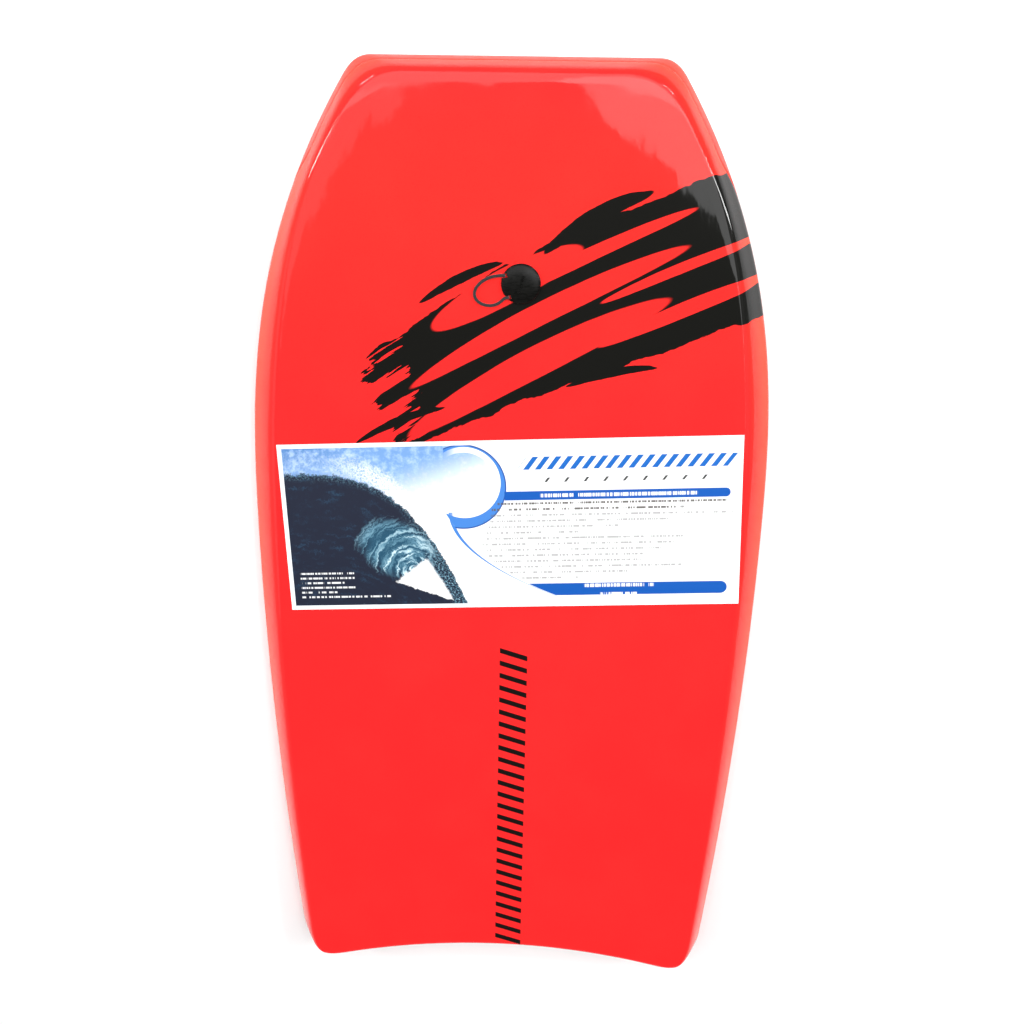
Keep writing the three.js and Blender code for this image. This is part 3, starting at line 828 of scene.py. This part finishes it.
def sweep_share(paint):
    """The black brush sweep that runs up over the right side of the deck."""
    along, across = turned_fields(paint, SWEEP_CENTRE, SWEEP_ANGLE)
    bow = across + along * along * 0.30
    streaked = paint.point(along * 5, bow * 70)
    bristles = paint.noise(1, 4, streaked, 0.6)
    ragged = paint.noise(1, 3, paint.point(along * 22, bow * 40), 0.6)
    fringe = (bristles - 0.5) * 0.13 + (ragged - 0.5) * 0.07
    from_left = along - SWEEP_LEFT + fringe
    half = along.smooth(-0.24, 0.05, 0.050, 0.070) + (ragged - 0.5) * 0.020
    middle = along.smooth(-0.24, 0.15, 0.002, -0.014)
    inside = (abs(bow - middle) - half).below(0, INK_BLUR) * from_left.smooth(-INK_BLUR, INK_BLUR)
    dry = (bristles + from_left.smooth(0, 0.09, 0, 0.45)).smooth(0.497, 0.503)
    ink = inside * dry
    for at, side, length, thickness in SWEEP_OPENINGS:
        u = (along - at) / length
        v = (bow - side + (bristles - 0.5) * 0.003) / thickness
        ink = ink * (1 - u * u - v * v).below(0, 0.06)
    return ink


# Middle, angle in degrees, half length and half thickness
STRAY_STROKES = (
    (0.078, 0.360, 30, 0.058, 0.0075),
    (-0.112, 0.158, 24, 0.050, 0.0040),
    (-0.050, 0.300, 27, 0.045, 0.0045),
    (0.100, 0.212, 14, 0.046, 0.0040),
)


def stray_strokes(paint, ink):
    """Thin strokes beside the sweep."""
    for x, y, angle, length, thickness in STRAY_STROKES:
        along, across = turned_fields(paint, (x, y), math.radians(angle))
        rough = paint.noise(1, 3, paint.point(along * 30, across * 90), 0.6)
        u = along / length
        v = (across + along * along * 2 + (rough - 0.5) * 0.004) / thickness
        ink = ink.higher((1 - u * u - v * v).smooth(-0.05, 0.05))
    return ink


BARS_LEFT = -0.005
BARS_WIDTH = 0.030
BARS_START = -0.463
BARS_LENGTH = 0.380
BAR_PITCH = 0.0146
BAR_THICKNESS = 0.0060
BAR_SLANT = 0.30


def bars_share(paint):
    """A row of slanted bars down the middle of the tail half."""
    across = paint.x - BARS_LEFT
    along = paint.y - BARS_START + across * BAR_SLANT
    place = (along / BAR_PITCH).math("FRACT") * BAR_PITCH
    bar = abs(place - BAR_PITCH / 2).below(BAR_THICKNESS / 2, INK_BLUR)
    bar = bar * across.smooth(-INK_BLUR, INK_BLUR) * across.below(BARS_WIDTH, INK_BLUR)
    return bar * along.smooth(-INK_BLUR, INK_BLUR) * along.below(BARS_LENGTH, INK_BLUR)


DECK_RED = (0.95, 0.017, 0.019)
DECK_MOTTLE = (0.93, 0.022, 0.022)
DECK_CELL = (0.80, 0.008, 0.010)
# Orange tint for the deck's bevel: painted warm light from the surroundings
PAINTED_WARM_LIGHT_ORANGE = (0.95, 0.058, 0.014)
RAIL_RED = (0.93, 0.050, 0.030)
RAIL_MOTTLE = (0.90, 0.066, 0.034)
RAIL_CELL = (0.72, 0.030, 0.018)
RAIL_RUBBED = (0.95, 0.20, 0.12)
DECK_GRAIN = 0.0011
RAIL_GRAIN = 0.0014
GLOSS = dict(Coat_Weight=1, Coat_Roughness=0.04, Coat_IOR=1.31)


def foam_grain(paint, cell):
    """The fine cells of pressed foam, as a bump and a slight change of colour."""
    cells = paint.cells(1 / cell)
    soft = paint.noise(0.35 / cell, 2)
    paint.bump(cells * 0.6 + soft * 0.4, 0.35, 0.12 * MM)
    return cells


def film_ripple(paint):
    """Slow waves and fine stretch lines in the gloss over the foam."""
    film = paint.noise(9, 2)
    stretch = paint.drawn_noise(40, 14, rough=0.55)
    paint.bump(film + stretch * 0.12, 1, 1 * MM, coat=True)


def deck_material():
    paint = Surface("deck_foam_print", DECK_RED)
    mottle = paint.noise(14, 3)
    paint.layer(mottle.smooth(0.35, 0.75, 0, 0.5), DECK_MOTTLE)
    # The bevel is tinted orange as it drops below the deck's top: painted warm light falling on the bevel
    drop = paint.z - paint.y.smooth(ROCKER_START, HALF_LENGTH, 0, NOSE_RISE)
    paint.layer(drop.smooth(0.028, 0.054, 0.9, 0), PAINTED_WARM_LIGHT_ORANGE)
    cells = foam_grain(paint, DECK_GRAIN)
    paint.layer(cells.smooth(0.5, 0.9, 0, 0.25), DECK_CELL)
    ink = stray_strokes(paint, sweep_share(paint)).higher(bars_share(paint))
    paint.layer(ink * paint.z.smooth(0.020, 0.030), INK)
    film_ripple(paint)
    paint.set(Roughness=0.6, Specular_IOR_Level=0.06, **GLOSS)
    return paint.done()


def rail_material():
    paint = Surface("rail_foam", RAIL_RED)
    mottle = paint.noise(20, 3)
    paint.layer(mottle.smooth(0.35, 0.70, 0, 0.6), RAIL_MOTTLE)
    cells = foam_grain(paint, RAIL_GRAIN)
    paint.layer(cells.smooth(0.45, 0.9, 0, 0.5), RAIL_CELL)
    rubbed = paint.noise(60, 4, rough=0.7)
    low = paint.z.smooth(0.002, 0.016, 1, 0)
    paint.layer(rubbed.smooth(0.50, 0.68) * low * 0.35, RAIL_RUBBED)
    film_ripple(paint)
    paint.set(Roughness=rubbed.smooth(0.3, 0.7, 0.5, 0.75), Specular_IOR_Level=0.15, **GLOSS)
    return paint.done()


def slick_material():
    paint = Surface("slick_sheet_plastic", (0.83, 0.83, 0.79))
    cloud = paint.noise(6, 3)
    paint.layer(cloud.smooth(0.3, 0.7, 0, 0.5), (0.79, 0.79, 0.74))
    lines = paint.drawn_noise(900, 9, detail=4, rough=0.65)
    paint.layer(lines.smooth(0.62, 0.74, 0, 0.35), (0.66, 0.66, 0.62))
    peel = paint.noise(420, 2)
    paint.bump(peel * 0.6 + lines * 0.4, 0.4, 0.05 * MM)
    paint.set(Roughness=lines.smooth(0.3, 0.75, 0.20, 0.42))
    paint.set(Subsurface_Weight=0.15, Subsurface_Scale=0.002)
    return paint.done()


def plastic_material():
    """Black moulding with a fine sparked texture and faint flow marks."""
    paint = Surface("black_moulded_plastic", (0.004, 0.004, 0.0035))
    flow = paint.drawn_noise(150, 600, 150)
    paint.layer(flow.smooth(0.45, 0.75, 0, 0.6), (0.008, 0.008, 0.007))
    specks = paint.noise(3800, 2, rough=0.6)
    scuffs = paint.drawn_noise(2400, 300, 900, detail=4, rough=0.7)
    paint.layer(scuffs.smooth(0.66, 0.74, 0, 0.5), (0.026, 0.026, 0.024))
    paint.bump(specks, 0.3, 0.03 * MM)
    paint.set(Roughness=flow.smooth(0.3, 0.7, 0.24, 0.36), Specular_IOR_Level=0.13)
    return paint.done()


def cord_material():
    """Black polyester: fibres along the strands, with a few pale broken ones."""
    paint = Surface("braided_cord", (0.010, 0.010, 0.011))
    fibres = paint.noise(6000, 3, rough=0.7)
    paint.layer(fibres.smooth(0.50, 0.72), (0.030, 0.030, 0.032))
    paint.layer(paint.noise(1800, 2).smooth(0.66, 0.72, 0, 0.7), (0.075, 0.075, 0.080))
    paint.bump(fibres, 0.6, 0.04 * MM)
    paint.set(Roughness=0.75, Sheen_Weight=0.4, Sheen_Roughness=0.4)
    return paint.done()


def core_material():
    """Moulded bead foam: beads about 4 mm across with shallow grooves between them."""
    paint = Surface("bead_foam", (0.86, 0.85, 0.81))
    edges = paint.cells(260, feature="DISTANCE_TO_EDGE")
    # The grooves between the beads are painted darker: painted shade in the grooves
    paint.layer(edges.smooth(0, 0.09, 0.55, 0), (0.55, 0.54, 0.50))
    paint.layer(paint.noise(420, 2).smooth(0.4, 0.7, 0, 0.3), (0.78, 0.77, 0.72))
    paint.bump(edges.smooth(0, 0.22), 0.8, 0.35 * MM)
    paint.set(Roughness=0.85, Subsurface_Weight=0.2, Subsurface_Scale=0.002)
    return paint.done()


def stringer_material():
    """A fibre tube: dark resin with fibres wound at a slight angle along it."""
    paint = Surface("stringer_fibre", (0.022, 0.022, 0.026))
    wound = paint.drawn_noise(1500, 26, 1500, detail=4)
    paint.layer(wound.smooth(0.45, 0.70, 0, 0.8), (0.070, 0.070, 0.078))
    paint.bump(wound, 0.5, 0.08 * MM)
    paint.set(Roughness=wound.smooth(0.3, 0.7, 0.25, 0.5), Coat_Weight=0.5, Coat_Roughness=0.1)
    return paint.done()


def end_plug_material():
    paint = Surface("end_plug_plastic", (0.020, 0.020, 0.019))
    cloud = paint.noise(500, 3)
    paint.layer(cloud.smooth(0.4, 0.7), (0.034, 0.034, 0.032))
    paint.bump(paint.noise(2600, 2), 0.4, 0.05 * MM)
    paint.set(Roughness=cloud.smooth(0.3, 0.7, 0.40, 0.60))
    return paint.done()


def rubber_material():
    """Black rubber with a dusting of pale bloom."""
    paint = Surface("seal_rubber", (0.018, 0.018, 0.018))
    bloom = paint.noise(900, 4, rough=0.7)
    paint.layer(bloom.smooth(0.50, 0.75, 0, 0.5), (0.065, 0.064, 0.060))
    paint.bump(paint.noise(3200, 2), 0.4, 0.04 * MM)
    paint.set(Roughness=bloom.smooth(0.3, 0.7, 0.70, 0.90))
    return paint.done()


# The card's print, in mm from its middle: +x to its right end, +y to its upper edge
CARD_WHITE = (0.93, 0.94, 0.95)
CARD_BLUE = (0.002, 0.085, 0.40)
LINE_BLUE = (0.055, 0.21, 0.60)
RIM_BLUE = (0.01, 0.06, 0.28)
BAR_BLUE = (0.006, 0.12, 0.46)
SKY_BLUE = (0.19, 0.36, 0.68)
SKY_DEEP = (0.06, 0.19, 0.46)
SKY_CLOUD = (0.42, 0.58, 0.86)
WAVE_DARK = (0.010, 0.014, 0.031)
WAVE_STREAK = (0.018, 0.055, 0.105)
LIP_TEAL = (0.11, 0.25, 0.34)
LIP_FOAM = (0.50, 0.66, 0.74)
TUBE_DARK = (0.014, 0.070, 0.125)
TUBE_TEAL = (0.12, 0.28, 0.38)
TUBE_LIT = (0.62, 0.80, 0.86)
RULE_GREY = (0.35, 0.33, 0.30)
MARK_BLACK = (0.05, 0.05, 0.05)
PRINT_GREY = (0.10, 0.09, 0.08)
PRINT_BLUR = 0.25
PICTURE_LEFT = -233
PICTURE_HALF = 86
CREST_TOP = 60
CREST_START = -232
CREST_RUN = 184
CREST_DROP = 145
CREST_POWER = 3.2
TUBE = (-100, -44)
TUBE_GLOW = (-121, -28)
FOAM_TIP = (-123, -60.5)
WINDOW = (-46.5, 46.5)
WINDOW_SKY = 32
WINDOW_RING = 37.5
CRESCENT = (-48, 42)
CRESCENT_RADIUS = 45
CRESCENT_LEFT = -66
ARC_TOP = 15
ARC_LEFT = -64
TEXT_TOP = 23.2
TEXT_PITCH = 6.27
TEXT_ROWS = 14


def band(value, low, high, blur=PRINT_BLUR):
    """1 where a value lies between two limits, with soft ends."""
    return (abs(value - (low + high) / 2) - (high - low) / 2).below(0, blur)


class Card(Surface):
    """The print on the care card, painted layer by layer. It has its own places, u and v, in mm."""

    def __init__(self):
        super().__init__("printed_card_stock", CARD_WHITE)
        along, across = turned_fields(self, LABEL_CENTRE, LABEL_TURN)
        self.u = along / MM
        self.v = across / MM
        self.fine = self.noise(0.12, 3, self.point(self.u, self.v), 0.65)
        self.grain = self.noise(0.5, 4, self.point(self.u, self.v), 0.7)

    def dashes(self, top, pitch, height, fineness=0.55):
        """Lines of small print, drawn as plain dashes of uneven length. Gives the line's number too."""
        place = (top - self.v) / pitch + 0.5
        row = place.math("FLOOR")
        marks = self.noise(1, 1, self.point(self.u * fineness, row * 7.3))
        words = self.noise(1, 0, self.point(self.u * 0.11, row * 3.1 + 40))
        ink = marks.smooth(0.42, 0.50) * words.smooth(0.34, 0.38)
        return ink * abs(place - row - 0.5).below(height / pitch / 2, 0.06), row

    def sky(self):
        inside = band(self.u, PICTURE_LEFT, -14) * band(self.v, -PICTURE_HALF, PICTURE_HALF)
        self.picture = inside
        self.layer(inside, SKY_BLUE)
        deep = self.v.smooth(30, 95) * self.u.smooth(-240, -140, 1, 0.25)
        self.layer(inside * deep, SKY_DEEP)
        self.layer(inside * self.fine.smooth(0.40, 0.70, 0, 0.8), SKY_CLOUD)
        pale = (self.v - self.u * 0.35 + (self.fine - 0.5) * 40).smooth(48, 105, 1, 0)
        self.layer(inside * pale * self.u.smooth(-190, -100, 0.3, 1), CARD_WHITE)

    def wave(self):
        run = ((self.u - CREST_START) / CREST_RUN).higher(0)
        crest = CREST_TOP - run.math("POWER", CREST_POWER) * CREST_DROP
        depth = crest - self.v + (self.grain - 0.5) * 12 + (self.fine - 0.5) * 12
        spray = band(depth, -20, 3, 9) * self.grain.smooth(0.36, 0.58)
        self.layer(self.picture * spray * self.u.smooth(-200, -120, 0.12, 1), CARD_WHITE)
        body = depth.smooth(0, 2.5) * self.picture * self.u.smooth(-44, -40, 1, 0)
        self.layer(body, WAVE_DARK)
        streaks = self.noise(1, 4, self.point(self.u * 0.05 + depth * 0.03, depth * 0.22), 0.65)
        self.layer(body * streaks.smooth(0.52, 0.74, 0, 0.8), WAVE_STREAK)
        self.tube(body)
        self.foam(body, depth)
        falling = self.u.smooth(-118, -74, 0, 0.9).higher(depth.smooth(0, 12, 0.6, 0))
        lip = body * depth.below(34, 5) * falling
        self.layer(lip * self.grain.smooth(0.48, 0.58), LIP_TEAL)
        self.layer(lip * self.grain.smooth(0.60, 0.68), LIP_FOAM)

    def tube(self, body):
        """The hollow of the wave: curved streaks of turquoise that sweep over and round its mouth."""
        dx = self.u - TUBE[0]
        dy = self.v - TUBE[1]
        turn = dy.math("ARCTAN2", dx * -1)
        reach = distance(dx, dy) + (self.fine - 0.5) * 14 + turn * 5
        streaks = self.noise(1, 3, self.point(reach * 0.26, turn * 0.7), 0.55)
        u = (self.u - TUBE_GLOW[0]) / 43
        v = (self.v - TUBE_GLOW[1] + dx * 0.2) / 35
        glow = body * ((1 - u * u - v * v) + (streaks - 0.5) * 1.1).smooth(0, 0.7)
        self.layer(glow, TUBE_DARK)
        self.layer(glow * streaks.smooth(0.40, 0.60), TUBE_TEAL)
        lit = reach.smooth(22, 62, 1, 0.25)
        self.layer(glow * streaks.smooth(0.52, 0.66) * lit, TUBE_LIT)

    def foam(self, body, depth):
        """White water between the falling lip and the foot of the wave."""
        along = self.u - FOAM_TIP[0]
        up = self.v - FOAM_TIP[1] + (self.fine - 0.5) * 8
        above = (up + along * 0.37).smooth(-0.6, 1)
        under = (up - along * 0.75 + (self.grain - 0.5) * 10).below(0, 2.5)
        inside = body * above * under * depth.smooth(28, 34)
        self.layer(inside, CARD_WHITE)

    def frame(self):
        """The blue crescent and the curved line that close the picture on its right."""
        fall = ((ARC_TOP - self.v) / (ARC_TOP + PICTURE_HALF)).higher(0)
        self.past_arc = self.u - (fall * fall * 126 + ARC_LEFT)
        beyond = self.past_arc.smooth(-PRINT_BLUR, PRINT_BLUR)
        self.layer(beyond * self.v.below(ARC_TOP, PRINT_BLUR), CARD_WHITE)
        width = fall.smooth(0, 1, 4.2, 0.9)
        stroke = (abs(self.past_arc - width * 0.5) - width * 0.5).below(0, PRINT_BLUR)
        self.layer(stroke * band(self.v, -PICTURE_HALF, ARC_TOP), LINE_BLUE)
        self.window()

    def window(self):
        """A round opening onto the sky, with a crescent round its lower left."""
        ring = distance(self.u - WINDOW[0], self.v - WINDOW[1])
        outer = distance(self.u - CRESCENT[0], self.v - CRESCENT[1])
        cut = (self.u * 1.6 + self.v).smooth(-94.5, -92.5)
        right = self.u.smooth(CRESCENT_LEFT - 0.5, CRESCENT_LEFT) * cut
        white = ring.smooth(WINDOW_SKY - 0.3, WINDOW_SKY + 0.3) * self.u.smooth(CRESCENT_LEFT, WINDOW[0])
        self.layer(right * self.v.smooth(0, 0.5) * white, CARD_WHITE)
        crescent = outer.below(CRESCENT_RADIUS, PRINT_BLUR) * ring.smooth(WINDOW_RING, WINDOW_RING + 0.4)
        crescent = crescent * right * self.v.below(PICTURE_HALF, PRINT_BLUR)
        self.layer(crescent, LINE_BLUE)
        rim = outer.smooth(CRESCENT_RADIUS - 1.6, CRESCENT_RADIUS - 0.8)
        self.layer(crescent * rim, RIM_BLUE)

    def headings(self):
        along = self.u - (self.v - 59) * 0.75
        slanted = band((along / 11.9).math("FRACT"), 0.22, 0.72, 0.02)
        self.layer(slanted * band(along, 8, 222) * band(self.v, 59, 72.5), BAR_BLUE)
        self.layer(band(self.u, 1, 230) * band(self.v, 54.8, 55.3), RULE_GREY)
        marks = band((along / 20).math("FRACT"), 0.30, 0.44, 0.02)
        self.layer(marks * band(self.u, 28, 206) * band(self.v, 45.6, 50.4), MARK_BLACK)

    def bar(self, middle, half, end):
        """A bar across the card with a round right end."""
        return distance((self.u - end).higher(0), self.v - middle).below(half, PRINT_BLUR)

    def blue_bands(self):
        upper = self.bar(31.5, 4.8, 221) * self.u.smooth(-5.5, -5)
        lower = self.bar(-71.5, 6.8, 218) * self.past_arc.smooth(2, 2.5)
        self.layer(upper + lower, CARD_BLUE)
        words, row = self.dashes(31.4, 9.9, 3.6)
        middle = abs(self.u - 112) - (row * -2.9 + 80 + row.smooth(9.5, 10.5, 0, 58) * -0.5)
        self.layer(words * middle.below(0, 1) * (upper + lower), CARD_WHITE)

    def small_print(self):
        words, row = self.dashes(TEXT_TOP, TEXT_PITCH, 2.4)
        ends = self.noise(1, 0, self.point(row * 5.7 + 3.3, 2)).smooth(0.3, 0.7, 125, 232)
        short = abs(abs(row - 8.9) - 4).smooth(0.8, 1.2, 70, 400)
        begin = (row - 5.5) * (row - 5.5) * 0.62 - 32
        inside = band(row, -0.5, TEXT_ROWS - 0.5, 0.1) * (self.u - ends.lower(short)).below(0, 0.5)
        inside = inside * (self.u - begin).smooth(0, 1)
        shade = row.smooth(1, 2, 0.95, 0.62)
        self.layer(words * inside * shade, PRINT_GREY)

    def picture_print(self):
        words, row = self.dashes(-50, 5.3, 2)
        ends = self.noise(1, 0, self.point(row * 5.7, 9)).smooth(0.3, 0.7, -205, -130)
        inside = band(self.v, -80, -47) * (self.u - ends).below(0, 0.5)
        inside = inside * self.u.smooth(-225.5, -225)
        self.layer(words * inside * 0.85, CARD_WHITE)


def card_material():
    card = Card()
    card.sky()
    card.wave()
    card.picture_print()
    card.frame()
    card.headings()
    card.blue_bands()
    card.small_print()
    film_ripple(card)
    card.bump(card.noise(1600, 2), 0.2, 0.03 * MM)
    card.set(Roughness=0.55, Specular_IOR_Level=0.2, **GLOSS)
    return card.done()


# ---------------------------------------------------------------- assembly

def finish_piece(piece, node, body, material):
    piece.data.materials.clear()
    piece.data.materials.append(material)
    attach(piece, body)
    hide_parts(node)


def assemble():
    rail = rail_material()
    plastic = plastic_material()
    cord = cord_material()
    strips = foam_strips()
    finish_piece(deck_skin(), "deck_skin", "board", deck_material())
    finish_piece(slick_skin(), "slick_skin", "board", slick_material())
    for piece, node in zip(strips, ("nose_bumper", "right_rail", "left_rail", "tail_bumper")):
        finish_piece(piece, node, "board", rail)
    finish_piece(plug_cap(), "leash_plug_cap", "board", plastic)
    finish_piece(plug_base(), "leash_plug_base", "plug_base", plastic)
    finish_piece(care_label(), "care_label", "board", card_material())
    loop, path, length = leash_loop()
    finish_piece(loop, "leash_loop", "loop", cord)
    refinish_frame(cord)


def refinish_frame(cord):
    """Materials for the frame's own pieces inside the board, which keep their shapes."""
    rubber = rubber_material()
    end_plug = end_plug_material()
    finishes = {
        "foam_core": core_material(),
        "stringer_tube": stringer_material(),
        "stringer_front_plug": end_plug,
        "stringer_rear_plug": end_plug,
        "stem_seal": rubber,
        "base_washer": rubber,
        "leash_loop_anchor": cord,
    }
    for node, material in finishes.items():
        slots = bpy.data.objects[node].material_slots
        for slot in slots:
            slot.material = material


# ---------------------------------------------------------------- camera, floor and light

LENS = 35.156
SENSOR = 36
CAMERA_PLACE = (0.0381, 0.3556, 1.0452)
CAMERA_RIGHT = Vector((0.99908, 0.01865, -0.03850))
CAMERA_UP = Vector((-0.02869, 0.95969, -0.27959))


def camera():
    data = bpy.data.cameras.new("camera")
    data.sensor_width = SENSOR
    data.lens = LENS
    data.clip_start = 0.01
    made = linked("camera", data)
    axes = Matrix((CAMERA_RIGHT, CAMERA_UP, CAMERA_RIGHT.cross(CAMERA_UP))).transposed()
    made.matrix_world = Matrix.Translation(CAMERA_PLACE) @ axes.to_4x4()
    bpy.context.scene.camera = made


FLOOR_HALF = 6.0
FLOOR_DROP = 0.0002


def floor():
    turns = ((-1, -1), (1, -1), (1, 1), (-1, 1))
    corners = [(FLOOR_HALF * x, FLOOR_HALF * y, -FLOOR_DROP) for x, y in turns]
    made = new_object("floor", corners, [(0, 1, 2, 3)], smooth=False)
    paint = Surface("floor_paint", (0.92, 0.92, 0.92))
    paint.layer(paint.noise(3.0, 2.0), (0.90, 0.90, 0.90))
    paint.bump(paint.noise(300.0, 3.0), 0.1, 0.1 * MM)
    paint.set(Roughness=0.7)
    made.data.materials.append(paint.done())


WALL_LIGHT = 0.32
CEILING_LIGHT = 0.10
LEFT_WALL = 1.15
RIGHT_WALL = 0.40


def studio_world():
    """Pale walls all round, brighter at the left, under a dim ceiling."""
    world = bpy.data.worlds.new("studio")
    bpy.context.scene.world = world
    world.use_nodes = True
    tree = world.node_tree
    background = tree.nodes["Background"]
    split = add_node(tree, "SeparateXYZ", add_node(tree, "TexCoord").outputs["Generated"])
    across, height = Field(tree, split.outputs[0]), Field(tree, split.outputs[2])
    walls = across.smooth(-0.8, 0.8, LEFT_WALL, RIGHT_WALL)
    connect(tree, height.smooth(0.45, 0.88, WALL_LIGHT, CEILING_LIGHT) * walls, background.inputs[1])
    background.inputs[0].default_value = (1, 1, 1, 1)


NOSE = (0, HALF_LENGTH, 0)
# Name, place, target, size, brightness and turn in degrees
SOFT_BOXES = (
    ("overhead", (0.10, 1.225, 2.6), (0.10, 1.225, 0.0), (2.8, 1.8), 3.4, 0),
    ("overhead_right", (1.02, 0.37, 2.59), (1.02, 0.37, 0.0), (1.6, 1.2), 4.2, -36),
    ("overhead_left", (-1.25, 0.30, 2.59), (-1.25, 0.30, 0.0), (1.0, 1.2), 1.5, 50),
    ("left", (-2.7, -0.4, 2.1), (0, 0, 0), (1.8, 1.8), 0.8, 0),
    ("right", (2.7, 0.1, 2.3), (0, 0, 0), (1.6, 1.6), 0.3, 0),
    ("front", (0.2, -3.2, 1.6), (0, 0, 0), (2.4, 1.2), 0.5, 0),
    ("right_strip", (2.5, 0.8, 1.8), NOSE, (0.13, 2.2), 44.0, 0),
    ("left_strip", (-2.5, 1.0, 1.8), NOSE, (0.11, 2.0), 44.0, 0),
    ("right_corner", (1.90, 2.25, 2.3), NOSE, (0.6, 0.12), 90.0, 0),
    ("left_corner", (-1.80, 2.30, 2.3), NOSE, (0.5, 0.12), 90.0, 0),
)


def soft_box(name, place, target, size, brightness, turn):
    data = bpy.data.lights.new(name, "AREA")
    data.shape = "RECTANGLE"
    data.size, data.size_y = size
    data.energy = brightness * math.pi * size[0] * size[1]
    made = linked(name, data)
    aim = (Vector(target) - Vector(place)).to_track_quat("-Z", "Y").to_matrix().to_4x4()
    made.matrix_world = Matrix.Translation(place) @ aim @ Matrix.Rotation(math.radians(turn), 4, "Z")


def lights():
    studio_world()
    for settings in SOFT_BOXES:
        soft_box(*settings)
    bpy.context.scene.view_settings.view_transform = "Standard"


assemble()
camera()
floor()
lights()
